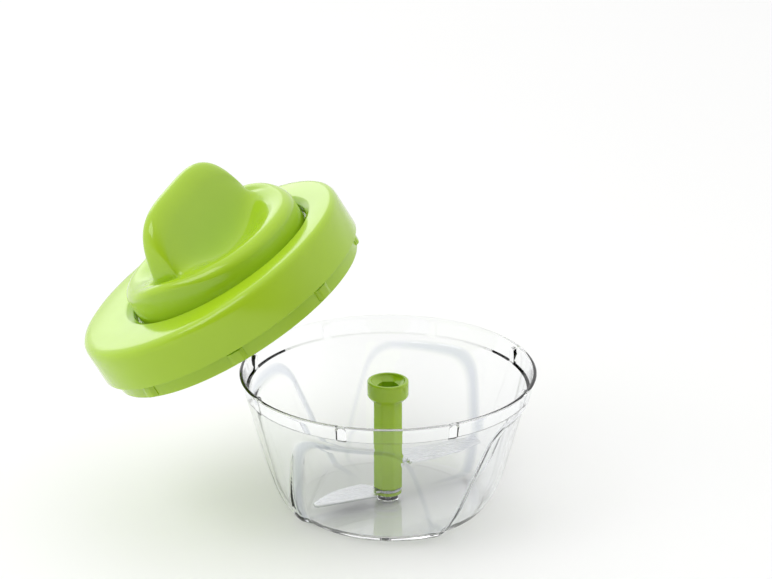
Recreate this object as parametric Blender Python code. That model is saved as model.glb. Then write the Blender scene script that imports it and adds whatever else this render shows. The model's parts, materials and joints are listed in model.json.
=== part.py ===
# Twist-knob herb chopper: a clear bowl with a two-blade unit on a floor pin, and a
# geared lid that is held tilted over the bowl's left edge, as when the bowl is being filled.
# Metres, +Z up.  The origin is the centre of the bowl's underside; the front is -Y.

import math

import bmesh
import bpy
import numpy as np
from mathutils import Matrix, Vector

MM = 0.001
GAP = 0.3 * MM            # between pieces that rest on or run against each other

# --- bowl ---
BOWL_RIM_RADIUS = 75.0 * MM
BOWL_HEIGHT = 73.0 * MM
BOWL_WALL = 2.6 * MM
BOWL_FLARE = 0.265        # radius lost per unit of height below the rim
HEEL_HEIGHT = 25.0 * MM   # below this height the wall turns in to the floor
HEEL_DROP = 6.0 * MM
HEEL_POWER = 2.8
FLOOR_THICKNESS = 3.5 * MM
BAND_HEIGHT = 8.6 * MM    # straight band inside the rim that takes the lid's ring
BAND_WALL = 2.1 * MM
BAND_DRAFT = 1.2 * MM     # radius lost inside the band, rim to ledge
RIB_COUNT = 8
RIB_WIDTH = 5.0 * MM
RIB_DEPTH = 1.0 * MM
RIB_FIRST_DEG = -18.6     # measured from the front, positive to the right
PANEL_COUNT = 4
PANEL_TOP_DROP = 14.5 * MM
PANEL_DEEP = 3.2 * MM
PANEL_SHALLOW = 0.8 * MM
PANEL_LEFT_DEG = -56.5
PANEL_RIGHT_DEG = 26.0
PANEL_LEFT_LEAN = 300.0   # degrees per metre of height
PANEL_RIGHT_LEAN = -340.0
PANEL_STEP_WIDE = 5.5 * MM
PANEL_STEP_NARROW = 2.6 * MM
PANEL_CORNER = 12.0 * MM
BOSS_RADIUS = 5.0 * MM
BOSS_RISE = 2.5 * MM      # above the floor
PIN_RADIUS = 1.5 * MM
PIN_LENGTH = 15.4 * MM
PIN_SEAT = 1.6 * MM       # height of the pin's lower end above the underside

# --- blade unit ---
SHAFT_FLATS = 14.3 * MM
CUP_DROP = 5.4 * MM       # cup mouth below the bowl's rim
CUP_RADIUS = 10.5 * MM
CUP_HEIGHT = 8.0 * MM
CUP_TAPER = 3.8 * MM
CUP_MOUTH_RADIUS = 8.7 * MM
CUP_FUNNEL = 3.0 * MM
HEX_FLATS = 9.4 * MM      # drive stub of the coupler, across flats
HEX_CLEARANCE = 0.3 * MM
BUSH_WALL = 1.1 * MM
FOOT_FLANGE = 1.6 * MM
FOOT_WALL = 0.7 * MM
FOOT_INSET = 0.15 * MM    # foot radius inside the shaft's flats
SPIGOT_LENGTH = 9.5 * MM
BLADE_THICKNESS = 1.2 * MM
BLADE_CHORD = 17.0 * MM
BLADE_TANG = 8.0 * MM
BLADE_HEADING_DEG = 25.0  # upper blade, counter-clockwise from +X
UPPER_BLADE_Z = 24.0 * MM
UPPER_BLADE_REACH = 53.0 * MM
LOWER_BLADE_REACH = 43.0 * MM

# --- lid ---
LID_INSET = 1.2 * MM      # band radius inside the bowl's rim radius
LID_HEIGHT = 22.0 * MM
LID_WALL = 1.6 * MM
LID_EDGE = 3.2 * MM       # round-over of the top edge
RECESS_DEPTH = 6.0 * MM
RECESS_CHAMFER = 3.5 * MM
RECESS_DROP = 2.4 * MM    # height of the sloped crease round the recess
KNOB_OFFSET = 6.0 * MM    # knob axis from the lid axis
PLATE_THICKNESS = 1.5 * MM
RING_DEPTH = 8.0 * MM
RING_WALL = 1.5 * MM
RING_CLEARANCE = 1.0 * MM
RAMP_COUNT = 8
RAMP_WIDTH = 9.0 * MM
RAMP_DEPTH = 1.5 * MM
LID_SCREW_ANGLES = (45.0, 135.0, 225.0, 315.0)
SCREW_RADIUS = 1.3 * MM
SCREW_HEAD_RADIUS = 2.6 * MM
SCREW_HEAD_HEIGHT = 1.2 * MM
POST_WALL = 1.6 * MM

# --- hold-down ring and its cage under the lid ---
LID_LIFT = 10.0 * MM      # how far the lid comes up off its seat before it swings away
CAGE_WALL = 1.5 * MM
CAGE_LIP = 1.2 * MM
HOLD_FLANGE = 1.0 * MM
HOLD_FLANGE_STEP = 2.5 * MM
SPRING_TURNS = 3
SPRING_WIRE = 0.7 * MM

# --- gear train ---
GEAR_MODULE = 1.25 * MM
RING_TEETH = 48
IDLER_TEETH = 18
PINION_TEETH = 12
PRESSURE_DEG = 25.0
ADDENDUM = 0.8            # in modules
DEDENDUM = 1.05
BACKLASH = 0.12 * MM      # taken off each tooth at the pitch circle
RING_GEAR_WALL = 6.2875 * MM # outside the tooth spaces
NECK_STEP = 1.4 * MM      # neck radius outside the ring gear's
NECK_CLEARANCE = 0.5 * MM
FLANGE_STEP = 3.5 * MM    # flange radius outside the neck's
FLANGE_THICKNESS = 1.6 * MM
GEAR_LIFT = 5.0 * MM      # gears above the plate
IDLER_PIN_RADIUS = 2.0 * MM
JOURNAL_RADIUS = 6.0 * MM
HUB_WALL = 1.7 * MM
HUB_RISE = 2.5 * MM

# --- knob ---
KNOB_RADIUS = 48.5 * MM
KNOB_RISE = 11.0 * MM     # disc top above the lid's top
KNOB_ROUND = 6.0 * MM
KNOB_WALL = 1.7 * MM
WELL_DEPTH = 9.5 * MM
WELL_RADIUS = 41.0 * MM
WING_HEADING_DEG = 60.0
WING_HALF_LENGTH = 38.8 * MM
WING_RISE = 34.2 * MM     # crest above the disc top
WING_HALF_WIDTH = 7.4 * MM
WING_ROUND = 14.0 * MM    # height of the crest's rounded top
WING_STEEPNESS = 11.0     # fall of the wing's sides per unit of width
END_FLARE = 0.7           # share of that steepness lost towards the wing's ends
END_RAISE = 6.2 * MM      # how far the disc climbs at the wing's two ends
KNOB_SCREW_ANGLES = (90.0, 210.0, 330.0)

# --- how the lid is held at rest ---
LID_TILT_DEG = 30.5
LID_REACH = 79.3 * MM     # seat-plane centre left of the bowl's axis
LID_HOVER = 38.0 * MM     # seat-plane centre above the rim

GREEN = (0.372, 0.597, 0.045)
CLEAR = (0.93, 0.95, 0.96)
STEEL = (0.62, 0.63, 0.64)
WHITE_NYLON = (0.78, 0.78, 0.74)


# ---------------------------------------------------------------- shared helpers

def clear_scene():
    for item in list(bpy.data.objects):
        bpy.data.objects.remove(item, do_unlink=True)


def make_material(name, colour, roughness, metallic=0.0, transmission=0.0):
    material = bpy.data.materials.new(name)
    material.use_nodes = True
    shader = material.node_tree.nodes["Principled BSDF"]
    shader.inputs["Base Color"].default_value = (*colour, 1.0)
    shader.inputs["Roughness"].default_value = roughness
    shader.inputs["Metallic"].default_value = metallic
    shader.inputs["Transmission Weight"].default_value = transmission
    return material


def make_empty(name, location, parent=None, tilt_deg=0.0):
    empty = bpy.data.objects.new(name, None)
    bpy.context.collection.objects.link(empty)
    empty.location = location
    empty.rotation_euler = (0.0, math.radians(tilt_deg), 0.0)
    empty.parent = parent
    return empty


def make_object(name, bm, material=None, parent=None, smooth_deg=35.0):
    bmesh.ops.recalc_face_normals(bm, faces=bm.faces)
    mesh = bpy.data.meshes.new(name)
    bm.to_mesh(mesh)
    bm.free()
    mesh.shade_smooth()
    mesh.set_sharp_from_angle(angle=math.radians(smooth_deg))
    item = bpy.data.objects.new(name, mesh)
    bpy.context.collection.objects.link(item)
    item.parent = parent
    if material:
        mesh.materials.append(material)
    return item


def combine(target, tool, operation):
    """Join or cut target with a hidden tool object that stays in the same frame."""
    tool.hide_render = True
    tool.display_type = 'WIRE'
    modifier = target.modifiers.new(tool.name, 'BOOLEAN')
    modifier.operation = operation
    modifier.solver = 'EXACT'
    modifier.object = tool


def circle(radius, z, count, centre_x=0.0):
    return [Vector((centre_x + radius * math.cos(2 * math.pi * i / count),
                    radius * math.sin(2 * math.pi * i / count), z)) for i in range(count)]


def skin(rings, loop=False):
    """Quads between rings of equal count; the two end rings are capped unless it loops."""
    bm = bmesh.new()
    rows = [[bm.verts.new(p) for p in ring] for ring in rings]
    count = len(rows[0])
    pairs = list(zip(rows, rows[1:])) + ([(rows[-1], rows[0])] if loop else [])
    for lower, upper in pairs:
        for i in range(count):
            j = (i + 1) % count
            bm.faces.new((lower[i], lower[j], upper[j], upper[i]))
    if not loop:
        bm.faces.new(rows[0])
        bm.faces.new(list(reversed(rows[-1])))
    return bm


def turned(profile, count, loop=False):
    """A turned solid from (radius, z) or (radius, z, centre_x) points."""
    return skin([circle(p[0], p[1], count, *p[2:]) for p in profile], loop)


def slab(outline, low, high):
    """A flat piece: a closed (x, y) outline extruded from low to high."""
    bm = bmesh.new()
    face = bm.faces.new([bm.verts.new((x, y, low)) for x, y in outline])
    extruded = bmesh.ops.extrude_face_region(bm, geom=[face])
    raised = [v for v in extruded['geom'] if isinstance(v, bmesh.types.BMVert)]
    bmesh.ops.translate(bm, verts=raised, vec=(0.0, 0.0, high - low))
    return bm


def shifted(bm, x=0.0, y=0.0, turn_deg=0.0):
    matrix = Matrix.Translation((x, y, 0.0)) @ Matrix.Rotation(math.radians(turn_deg), 4, 'Z')
    bmesh.ops.transform(bm, matrix=matrix, verts=bm.verts)
    return bm


def polygon(across_flats, sides):
    radius = across_flats / 2 / math.cos(math.pi / sides)
    return [(radius * math.cos(math.pi * (2 * i + 1) / sides),
             radius * math.sin(math.pi * (2 * i + 1) / sides)) for i in range(sides)]


def polar(radius, angle_deg):
    angle = math.radians(angle_deg)
    return radius * math.cos(angle), radius * math.sin(angle)


def smooth_step(value):
    t = min(1.0, max(0.0, value))
    return t * t * (3.0 - 2.0 * t)


def soft_min(a, b, radius):
    h = max(radius - abs(a - b), 0.0)
    return min(a, b) - h * h / (4.0 * radius)


# ---------------------------------------------------------------- bowl

def bowl_radius(z):
    heel = max(0.0, 1.0 - z / HEEL_HEIGHT) ** HEEL_POWER
    return BOWL_RIM_RADIUS - BOWL_FLARE * (BOWL_HEIGHT - z) - HEEL_DROP * heel


def panel_inset(angle_deg, z):
    """How far the wall is pressed in at an angle from the front and a height."""
    spacing = 360.0 / PANEL_COUNT
    middle = (PANEL_LEFT_DEG + PANEL_RIGHT_DEG) / 2
    local = (angle_deg - middle + spacing / 2) % spacing - spacing / 2 + middle
    left = PANEL_LEFT_DEG + PANEL_LEFT_LEAN * z
    right = PANEL_RIGHT_DEG + PANEL_RIGHT_LEAN * z
    per_degree = bowl_radius(z) * math.pi / 180.0
    from_left = (local - left) * per_degree
    from_right = (right - local) * per_degree
    from_top = BOWL_HEIGHT - PANEL_TOP_DROP - z
    inside = soft_min(soft_min(from_left, from_top, PANEL_CORNER), from_right, PANEL_CORNER)
    along = smooth_step((local - PANEL_LEFT_DEG) / (PANEL_RIGHT_DEG - PANEL_LEFT_DEG))
    width = PANEL_STEP_WIDE + (PANEL_STEP_NARROW - PANEL_STEP_WIDE) * along
    depth = PANEL_DEEP + (PANEL_SHALLOW - PANEL_DEEP) * along
    return depth * smooth_step(inside / width + 0.5)


def bowl_ring(radius, z, count, share=1.0):
    """A ring of the wall: radius less the panels' inset, from the front anticlockwise."""
    points = []
    for i in range(count):
        turn = 360.0 * i / count
        r = radius - share * panel_inset(turn, z)
        points.append(Vector((r * math.sin(math.radians(turn)),
                              -r * math.cos(math.radians(turn)), z)))
    return points


def build_bowl(material):
    count = 72
    base = bowl_radius(0.0)
    heel_fillet = 2.0 * MM
    wall_heights = [BOWL_HEIGHT * f for f in (0.03, 0.09, 0.18, 0.32, 0.5, 0.66, 0.76, 0.83)]
    ledge = BOWL_HEIGHT - BAND_HEIGHT
    rim_inner = BOWL_RIM_RADIUS - BAND_WALL
    rings = [bowl_ring(base / 2, 0.0, count, 0.0), bowl_ring(base - heel_fillet, 0.0, count)]
    rings += [bowl_ring(bowl_radius(z), z, count) for z in wall_heights]
    rings += [bowl_ring(bowl_radius(ledge), ledge, count, 0.0)]
    rings += [bowl_ring(BOWL_RIM_RADIUS, BOWL_HEIGHT - 0.5 * MM, count, 0.0)]
    rings += [bowl_ring(BOWL_RIM_RADIUS - 0.5 * MM, BOWL_HEIGHT, count, 0.0)]
    rings += [bowl_ring(rim_inner + 0.3 * MM, BOWL_HEIGHT, count, 0.0)]
    rings += [bowl_ring(rim_inner, BOWL_HEIGHT - 0.5 * MM, count, 0.0)]
    rings += [bowl_ring(rim_inner - BAND_DRAFT, ledge, count, 0.0)]
    inside = [z for z in wall_heights if z > FLOOR_THICKNESS + 2.0 * MM]
    rings += [bowl_ring(bowl_radius(ledge) - BOWL_WALL, ledge - 0.4 * MM, count, 0.0)]
    rings += [bowl_ring(bowl_radius(z) - BOWL_WALL, z, count) for z in reversed(inside)]
    floor_radius = bowl_radius(FLOOR_THICKNESS) - BOWL_WALL - heel_fillet
    rings += [bowl_ring(floor_radius, FLOOR_THICKNESS, count)]
    boss_top = FLOOR_THICKNESS + BOSS_RISE
    rings += [bowl_ring(floor_radius / 2, FLOOR_THICKNESS, count, 0.0)]
    bm = skin(rings)
    bowl = make_object("bowl", bm, material, None, 50.0)
    boss = turned([(BOSS_RADIUS - 1 * MM, FLOOR_THICKNESS / 2), (BOSS_RADIUS, FLOOR_THICKNESS / 2 + 1 * MM),
                   (BOSS_RADIUS, boss_top - 0.5 * MM), (BOSS_RADIUS - 0.5 * MM, boss_top)], 24)
    combine(bowl, make_object("bowl_boss_guide", boss), 'UNION')
    hole = turned([(PIN_RADIUS + GAP, PIN_SEAT - GAP), (PIN_RADIUS + GAP, boss_top + 1 * MM)], 24)
    combine(bowl, make_object("bowl_hole_guide", hole), 'DIFFERENCE')
    combine(bowl, make_object("bowl_ribs_guide", build_ribs(ledge, rim_inner)), 'UNION')
    return bowl


def build_ribs(ledge, rim_inner):
    """Round-topped upright ribs inside the band, which stop the lid from turning."""
    top = BOWL_HEIGHT - 0.7 * MM
    half = RIB_WIDTH / 2
    inner = rim_inner - BAND_DRAFT - RIB_DEPTH
    outer = rim_inner - BAND_DRAFT + 0.5 * MM
    outline = [(-half, ledge - 1.2 * MM), (half, ledge - 1.2 * MM)]
    outline += [(half * math.cos(a), top - half + half * math.sin(a))
                for a in np.linspace(0.0, math.pi, 5)]
    ribs = bmesh.new()
    for k in range(RIB_COUNT):
        turn = math.radians(RIB_FIRST_DEG + 360.0 * k / RIB_COUNT)
        out = Vector((math.sin(turn), -math.cos(turn), 0.0))
        side = Vector((math.cos(turn), math.sin(turn), 0.0))
        near = [ribs.verts.new(out * inner + side * s + Vector((0, 0, z))) for s, z in outline]
        far = [ribs.verts.new(out * outer + side * s + Vector((0, 0, z))) for s, z in outline]
        ribs.faces.new(near)
        ribs.faces.new(list(reversed(far)))
        for i in range(len(outline)):
            j = (i + 1) % len(outline)
            ribs.faces.new((near[j], near[i], far[i], far[j]))
    return ribs


def build_pivot_pin(material):
    top = PIN_SEAT + PIN_LENGTH
    chamfer = 0.5 * MM
    bm = turned([(PIN_RADIUS, PIN_SEAT), (PIN_RADIUS, top - chamfer), (PIN_RADIUS - chamfer, top)], 16)
    return make_object("pivot_pin", bm, material)


# ---------------------------------------------------------------- blade unit

def shaft_levels():
    """Heights of the blade unit: foot, lower blade, shaft bottom, cup mouth."""
    foot = FLOOR_THICKNESS + BOSS_RISE + 2 * GAP
    blade = foot + FOOT_FLANGE + GAP
    shaft = blade + BLADE_THICKNESS + GAP
    return foot, blade, shaft, BOWL_HEIGHT - CUP_DROP


def foot_radius():
    return SHAFT_FLATS / 2 - FOOT_INSET


def spigot_radius():
    return PIN_RADIUS + GAP + BUSH_WALL + GAP + FOOT_WALL


def hex_depths():
    """Depth below the cup's mouth of the socket's top and of its floor."""
    return CUP_FUNNEL, LID_LIFT - 0.3 * MM


def build_blade_shaft(material, axis):
    foot, blade, bottom, top = shaft_levels()
    neck = top - CUP_HEIGHT - CUP_TAPER
    prism = slab(polygon(SHAFT_FLATS, 8), bottom, neck + CUP_TAPER)
    shaft = make_object("blade_shaft", prism, material, axis)
    flat = SHAFT_FLATS / 2
    cup = turned([(flat - 0.2 * MM, neck), (flat + 1.4 * MM, neck + CUP_TAPER * 0.35),
                  (CUP_RADIUS - 0.4 * MM, neck + CUP_TAPER * 0.85),
                  (CUP_RADIUS, neck + CUP_TAPER + 0.6 * MM), (CUP_RADIUS, top - 0.6 * MM),
                  (CUP_RADIUS - 0.6 * MM, top)], 32)
    combine(shaft, make_object("cup_guide", cup, None, axis), 'UNION')
    funnel_depth, socket_depth = hex_depths()
    hex_corner = (HEX_FLATS / 2 + HEX_CLEARANCE) / math.cos(math.pi / 6)
    funnel = turned([(hex_corner, top - funnel_depth),
                     (CUP_MOUTH_RADIUS - 1.2 * MM, top - funnel_depth * 0.7),
                     (CUP_MOUTH_RADIUS, top - 0.4 * MM), (CUP_MOUTH_RADIUS, top + 1 * MM)], 32)
    combine(shaft, make_object("funnel_guide", funnel, None, axis), 'DIFFERENCE')
    socket = slab(polygon(HEX_FLATS + 2 * HEX_CLEARANCE, 6), top - socket_depth, top)
    combine(shaft, make_object("socket_guide", socket, None, axis), 'DIFFERENCE')
    bore = turned([(spigot_radius() + GAP, bottom - 1 * MM),
                   (spigot_radius() + GAP, foot + FOOT_FLANGE + SPIGOT_LENGTH + 2 * GAP)], 24)
    combine(shaft, make_object("bore_guide", bore, None, axis), 'DIFFERENCE')
    half = BLADE_TANG / 2 + GAP
    slot_end = -BLADE_TANG / 2 - GAP
    slot = slab([(slot_end, -half), (SHAFT_FLATS, -half), (SHAFT_FLATS, half), (slot_end, half)],
                UPPER_BLADE_Z - BLADE_THICKNESS / 2 - GAP, UPPER_BLADE_Z + BLADE_THICKNESS / 2 + GAP)
    shifted(slot, turn_deg=BLADE_HEADING_DEG)
    combine(shaft, make_object("slot_guide", slot, None, axis), 'DIFFERENCE')
    return shaft


def blade_outline(start, reach, sweep):
    """Leading edge curved back by sweep towards the tip, straight back edge."""
    root = SHAFT_FLATS / 2 + 1.2 * MM
    half = BLADE_CHORD / 2
    tang = BLADE_TANG / 2
    steps = 9
    front = []
    for i in range(steps):
        t = i / (steps - 1)
        front.append((root + 2 * MM + (reach - root - 2 * MM) * t, -half + sweep * t ** 2.4))
    back = [(reach - 1.5 * MM, half - 1.0 * MM), (root + 2 * MM, half)]
    return [(start, -tang), (root, -tang)] + front + back + [(root, tang), (start, tang)]


def build_upper_blade(material, axis):
    outline = blade_outline(-BLADE_TANG / 2, UPPER_BLADE_REACH, BLADE_CHORD * 0.45)
    bm = slab(outline, UPPER_BLADE_Z - BLADE_THICKNESS / 2, UPPER_BLADE_Z + BLADE_THICKNESS / 2)
    return make_object("blade_upper", shifted(bm, turn_deg=BLADE_HEADING_DEG), material, axis)


def build_lower_blade(material, axis):
    _, low, bottom, _ = shaft_levels()
    high = low + BLADE_THICKNESS
    outline = blade_outline(0.0, LOWER_BLADE_REACH, BLADE_CHORD * 0.7)
    bm = shifted(slab(outline, low, high), turn_deg=BLADE_HEADING_DEG + 180.0)
    blade = make_object("blade_lower", bm, material, axis)
    ring = turned([(foot_radius(), low), (foot_radius(), high)], 24)
    combine(blade, make_object("lower_ring_guide", ring, None, axis), 'UNION')
    hole = turned([(spigot_radius() + GAP, low - 1 * MM), (spigot_radius() + GAP, bottom + 1 * MM)], 24)
    combine(blade, make_object("lower_hole_guide", hole, None, axis), 'DIFFERENCE')
    return blade


def build_shaft_foot(material, axis):
    foot = shaft_levels()[0]
    step = foot + FOOT_FLANGE
    top = step + SPIGOT_LENGTH
    bore = spigot_radius() - FOOT_WALL
    outer = spigot_radius()
    bm = turned([(bore, foot), (foot_radius(), foot), (foot_radius(), step), (outer, step),
                 (outer, top), (bore, top)], 24, loop=True)
    return make_object("shaft_foot", bm, material, axis)


def build_shaft_bush(material, axis):
    foot = shaft_levels()[0]
    low = foot + GAP
    high = PIN_SEAT + PIN_LENGTH - 0.5 * MM
    bore = PIN_RADIUS + GAP
    bm = turned([(bore, low), (bore + BUSH_WALL, low), (bore + BUSH_WALL, high), (bore, high)], 24, loop=True)
    return make_object("shaft_bush", bm, material, axis)


# ---------------------------------------------------------------- lid: heights and radii

def lid_radius():
    return BOWL_RIM_RADIUS - LID_INSET


def ring_radius():
    return BOWL_RIM_RADIUS - BAND_WALL - BAND_DRAFT - RIB_DEPTH - RING_CLEARANCE


def gear_levels():
    """Heights above the seat plane: gears' underside, flange bottom, flange top, recess floor."""
    floor_top = LID_HEIGHT - RECESS_DEPTH
    flange_top = floor_top - LID_WALL - GAP
    return PLATE_THICKNESS + GEAR_LIFT, flange_top - FLANGE_THICKNESS, flange_top, floor_top


def hold_levels():
    """Seated heights of the hold-down ring: nose bottom, flange bottom, flange top."""
    flange_top = -GAP - SPRING_TURNS * SPRING_WIRE - GAP
    return -CUP_DROP, flange_top - HOLD_FLANGE, flange_top


def hold_flange_radius():
    return CUP_RADIUS + HOLD_FLANGE_STEP


def recess_radius():
    return KNOB_RADIUS + 1.5 * MM


def screw_place(angle_deg):
    """A lid screw halfway between the recess crease and the band, at an angle."""
    crease = recess_radius() + RECESS_CHAMFER
    angle = math.radians(angle_deg)
    side = KNOB_OFFSET * math.sin(angle)
    inner = KNOB_OFFSET * math.cos(angle) + math.sqrt(crease ** 2 - side ** 2)
    outer = min(lid_radius() - LID_WALL, ring_radius() - RING_WALL)
    return polar((inner + outer) / 2, angle_deg)


# ---------------------------------------------------------------- lid: fixed pieces

def build_lid_cover(material, frame):
    count = 48
    outer = lid_radius()
    inner = outer - LID_WALL
    floor_top = gear_levels()[3]
    hole = ring_gear_radii()[1] + NECK_CLEARANCE
    recess = recess_radius()
    crease = recess + RECESS_CHAMFER
    arc = [(outer - LID_EDGE * (1 - math.cos(a)), LID_HEIGHT - LID_EDGE * (1 - math.sin(a)), 0.0)
           for a in np.linspace(0.0, math.pi / 2, 4)]
    under = LID_HEIGHT - LID_WALL
    profile = [(inner, 0.0, 0.0), (outer, 0.0, 0.0)] + arc
    profile += [(crease, LID_HEIGHT, KNOB_OFFSET), (recess, LID_HEIGHT - RECESS_DROP, KNOB_OFFSET),
                (recess, floor_top, KNOB_OFFSET), (hole, floor_top, KNOB_OFFSET),
                (hole, floor_top - LID_WALL, KNOB_OFFSET),
                (recess + LID_WALL, floor_top - LID_WALL, KNOB_OFFSET),
                (recess + LID_WALL, under - RECESS_DROP, KNOB_OFFSET), (crease + 1 * MM, under, KNOB_OFFSET),
                (inner - LID_EDGE / 2, under, 0.0), (inner, under - LID_EDGE / 2, 0.0)]
    cover = make_object("lid_cover", turned(profile, count, loop=True), material, frame)
    posts = bmesh.new()
    bores = bmesh.new()
    for angle in LID_SCREW_ANGLES:
        x, y = screw_place(angle)
        add_copy(posts, turned([(SCREW_RADIUS + POST_WALL, PLATE_THICKNESS + GAP),
                                (SCREW_RADIUS + POST_WALL, under + LID_WALL / 2)], 12), x, y)
        add_copy(bores, turned([(SCREW_RADIUS + GAP, PLATE_THICKNESS - GAP),
                                (SCREW_RADIUS + GAP, under - 2 * MM)], 12), x, y)
    combine(cover, make_object("lid_posts_guide", posts, None, frame), 'UNION')
    combine(cover, make_object("lid_bores_guide", bores, None, frame), 'DIFFERENCE')
    return cover


def add_copy(target, source, x=0.0, y=0.0, turn_deg=0.0):
    """Add source to target at a place, and free source."""
    shifted(source, x, y, turn_deg)
    scratch = bpy.data.meshes.new("scratch")
    source.to_mesh(scratch)
    source.free()
    target.from_mesh(scratch)
    bpy.data.meshes.remove(scratch)


def cage_levels():
    """Cage under the lid: bottom of its lip, and top of its lip."""
    nose, flange, _ = hold_levels()
    lip_top = flange - LID_LIFT - GAP
    return lip_top - CAGE_LIP, lip_top


def build_underplate(material, frame):
    count = 48
    plate = lid_radius() - LID_WALL - 0.4 * MM
    ring = ring_radius()
    cage_bottom, lip_top = cage_levels()
    cage_inner = hold_flange_radius() + GAP
    cage_outer = cage_inner + CAGE_WALL
    lip = CUP_RADIUS + 0.4 * MM
    hub_hole = JOURNAL_RADIUS + GAP + HUB_WALL + GAP
    hub_top = PLATE_THICKNESS + HUB_RISE
    profile = [(hub_hole, hub_top), (hub_hole, 0.0), (cage_inner, 0.0), (cage_inner, lip_top), (lip, lip_top),
               (lip, cage_bottom), (cage_outer, cage_bottom), (cage_outer, 0.0), (ring - RING_WALL, 0.0),
               (ring - RING_WALL, -RING_DEPTH), (ring - 0.5 * MM, -RING_DEPTH),
               (ring, -RING_DEPTH + 0.5 * MM),
               (ring, GAP), (plate, GAP), (plate, PLATE_THICKNESS), (hub_hole + 2 * MM, PLATE_THICKNESS),
               (hub_hole + 2 * MM, hub_top)]
    item = make_object("lid_underplate", turned(profile, count, loop=True), material, frame)
    combine(item, make_object("ramps_guide", build_ramps(ring), None, frame), 'UNION')
    x, y = idler_place()
    boss = bmesh.new()
    boss_top = PLATE_THICKNESS + GEAR_LIFT - 0.4 * MM
    add_copy(boss, turned([(5.0 * MM, PLATE_THICKNESS / 2), (5.0 * MM, boss_top)], 20), x, y)
    combine(item, make_object("idler_boss_guide", boss, None, frame), 'UNION')
    holes = bmesh.new()
    add_copy(holes, turned([(IDLER_PIN_RADIUS + GAP, 0.5 * MM),
                            (IDLER_PIN_RADIUS + GAP, PLATE_THICKNESS + GEAR_LIFT)], 16), x, y)
    for angle in LID_SCREW_ANGLES:
        add_copy(holes, turned([(SCREW_RADIUS + GAP, -1 * MM),
                                (SCREW_RADIUS + GAP, PLATE_THICKNESS + 1 * MM)], 12),
                 *screw_place(angle))
    combine(item, make_object("plate_holes_guide", holes, None, frame), 'DIFFERENCE')
    return item


def build_ramps(ring):
    """Low blocks on the lid's ring, each halfway between two ribs of the bowl."""
    ramps = bmesh.new()
    half = RAMP_WIDTH / 2
    for k in range(RAMP_COUNT):
        heading = RIB_FIRST_DEG - 90.0 + 360.0 * (k + 0.5) / RIB_COUNT
        outline = [(ring - 1 * MM, -half), (ring + 0.2 * MM, -half), (ring + RAMP_DEPTH, -half + 2.5 * MM),
                   (ring + RAMP_DEPTH, half - 2.5 * MM), (ring + 0.2 * MM, half), (ring - 1 * MM, half)]
        add_copy(ramps, slab(outline, -RING_DEPTH + 0.8 * MM, -1.2 * MM), turn_deg=heading)
    return ramps


def build_hub_bush(material, frame):
    bore = JOURNAL_RADIUS + GAP
    outer = bore + HUB_WALL
    rim = PLATE_THICKNESS + HUB_RISE + GAP
    top = PLATE_THICKNESS + GEAR_LIFT - GAP
    low = hold_levels()[2] + 0.9 * MM
    bm = turned([(bore, low), (outer, low), (outer, rim), (outer + 1.5 * MM, rim), (outer + 1.5 * MM, top),
                 (bore, top)], 32, loop=True)
    return make_object("hub_bush", bm, material, frame)


def build_idler_pin(material, frame):
    x, y = idler_place()
    head = gear_levels()[1] + GAP
    bm = turned([(IDLER_PIN_RADIUS, 0.5 * MM + GAP), (IDLER_PIN_RADIUS, head),
                 (IDLER_PIN_RADIUS + 1.5 * MM, head),
                 (IDLER_PIN_RADIUS + 1.5 * MM, head + 0.9 * MM)], 16)
    return make_object("idler_pin", shifted(bm, x, y), material, frame)


def build_screw(name, material, parent, x, y, head_top, tip):
    """A pan-head screw seen from below: head under head_top, shank up to tip."""
    head = head_top - SCREW_HEAD_HEIGHT
    bm = turned([(SCREW_HEAD_RADIUS - 0.5 * MM, head), (SCREW_HEAD_RADIUS, head + 0.5 * MM),
                 (SCREW_HEAD_RADIUS, head_top), (SCREW_RADIUS, head_top), (SCREW_RADIUS, tip - 1 * MM),
                 (SCREW_RADIUS * 0.4, tip)], 10)
    return make_object(name, shifted(bm, x, y), material, parent)


# ---------------------------------------------------------------- hold-down ring and spring

def build_hold_down(material, frame):
    nose, flange, flange_top = (z - LID_LIFT for z in hold_levels())
    inner = JOURNAL_RADIUS + 2.5 * MM
    rim = hold_flange_radius()
    bm = turned([(inner, nose), (CUP_RADIUS - 0.1 * MM, nose), (CUP_RADIUS - 0.1 * MM, flange),
                 (rim, flange), (rim, flange_top), (inner, flange_top)], 40, loop=True)
    return make_object("hold_down_ring", bm, material, frame)


def build_hold_spring(material, frame):
    """A round-wire coil from the ring's flange up to the underplate."""
    wire = SPRING_WIRE / 2
    low = hold_levels()[2] - LID_LIFT + GAP + wire
    high = -GAP - wire
    radius = hold_flange_radius() - 1.0 * MM
    steps = 14 * SPRING_TURNS
    rings = []
    for i in range(steps + 1):
        turn = 2 * math.pi * SPRING_TURNS * i / steps
        out = Vector((math.cos(turn), math.sin(turn), 0.0))
        centre = out * radius + Vector((0.0, 0.0, low + (high - low) * i / steps))
        rings.append([centre + wire * (out * math.cos(a) + Vector((0, 0, math.sin(a))))
                      for a in np.linspace(0.0, 2 * math.pi, 5, endpoint=False)])
    return make_object("hold_spring", skin(rings), material, frame)


# ---------------------------------------------------------------- gears

def idler_place():
    """Where the idler meshes with both the pinion and the ring gear, in the lid's plane."""
    to_pinion = GEAR_MODULE * (PINION_TEETH + IDLER_TEETH) / 2
    to_knob = GEAR_MODULE * (RING_TEETH - IDLER_TEETH) / 2
    x = (to_pinion ** 2 - to_knob ** 2 + KNOB_OFFSET ** 2) / (2 * KNOB_OFFSET)
    return x, math.sqrt(to_pinion ** 2 - x ** 2)


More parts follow.
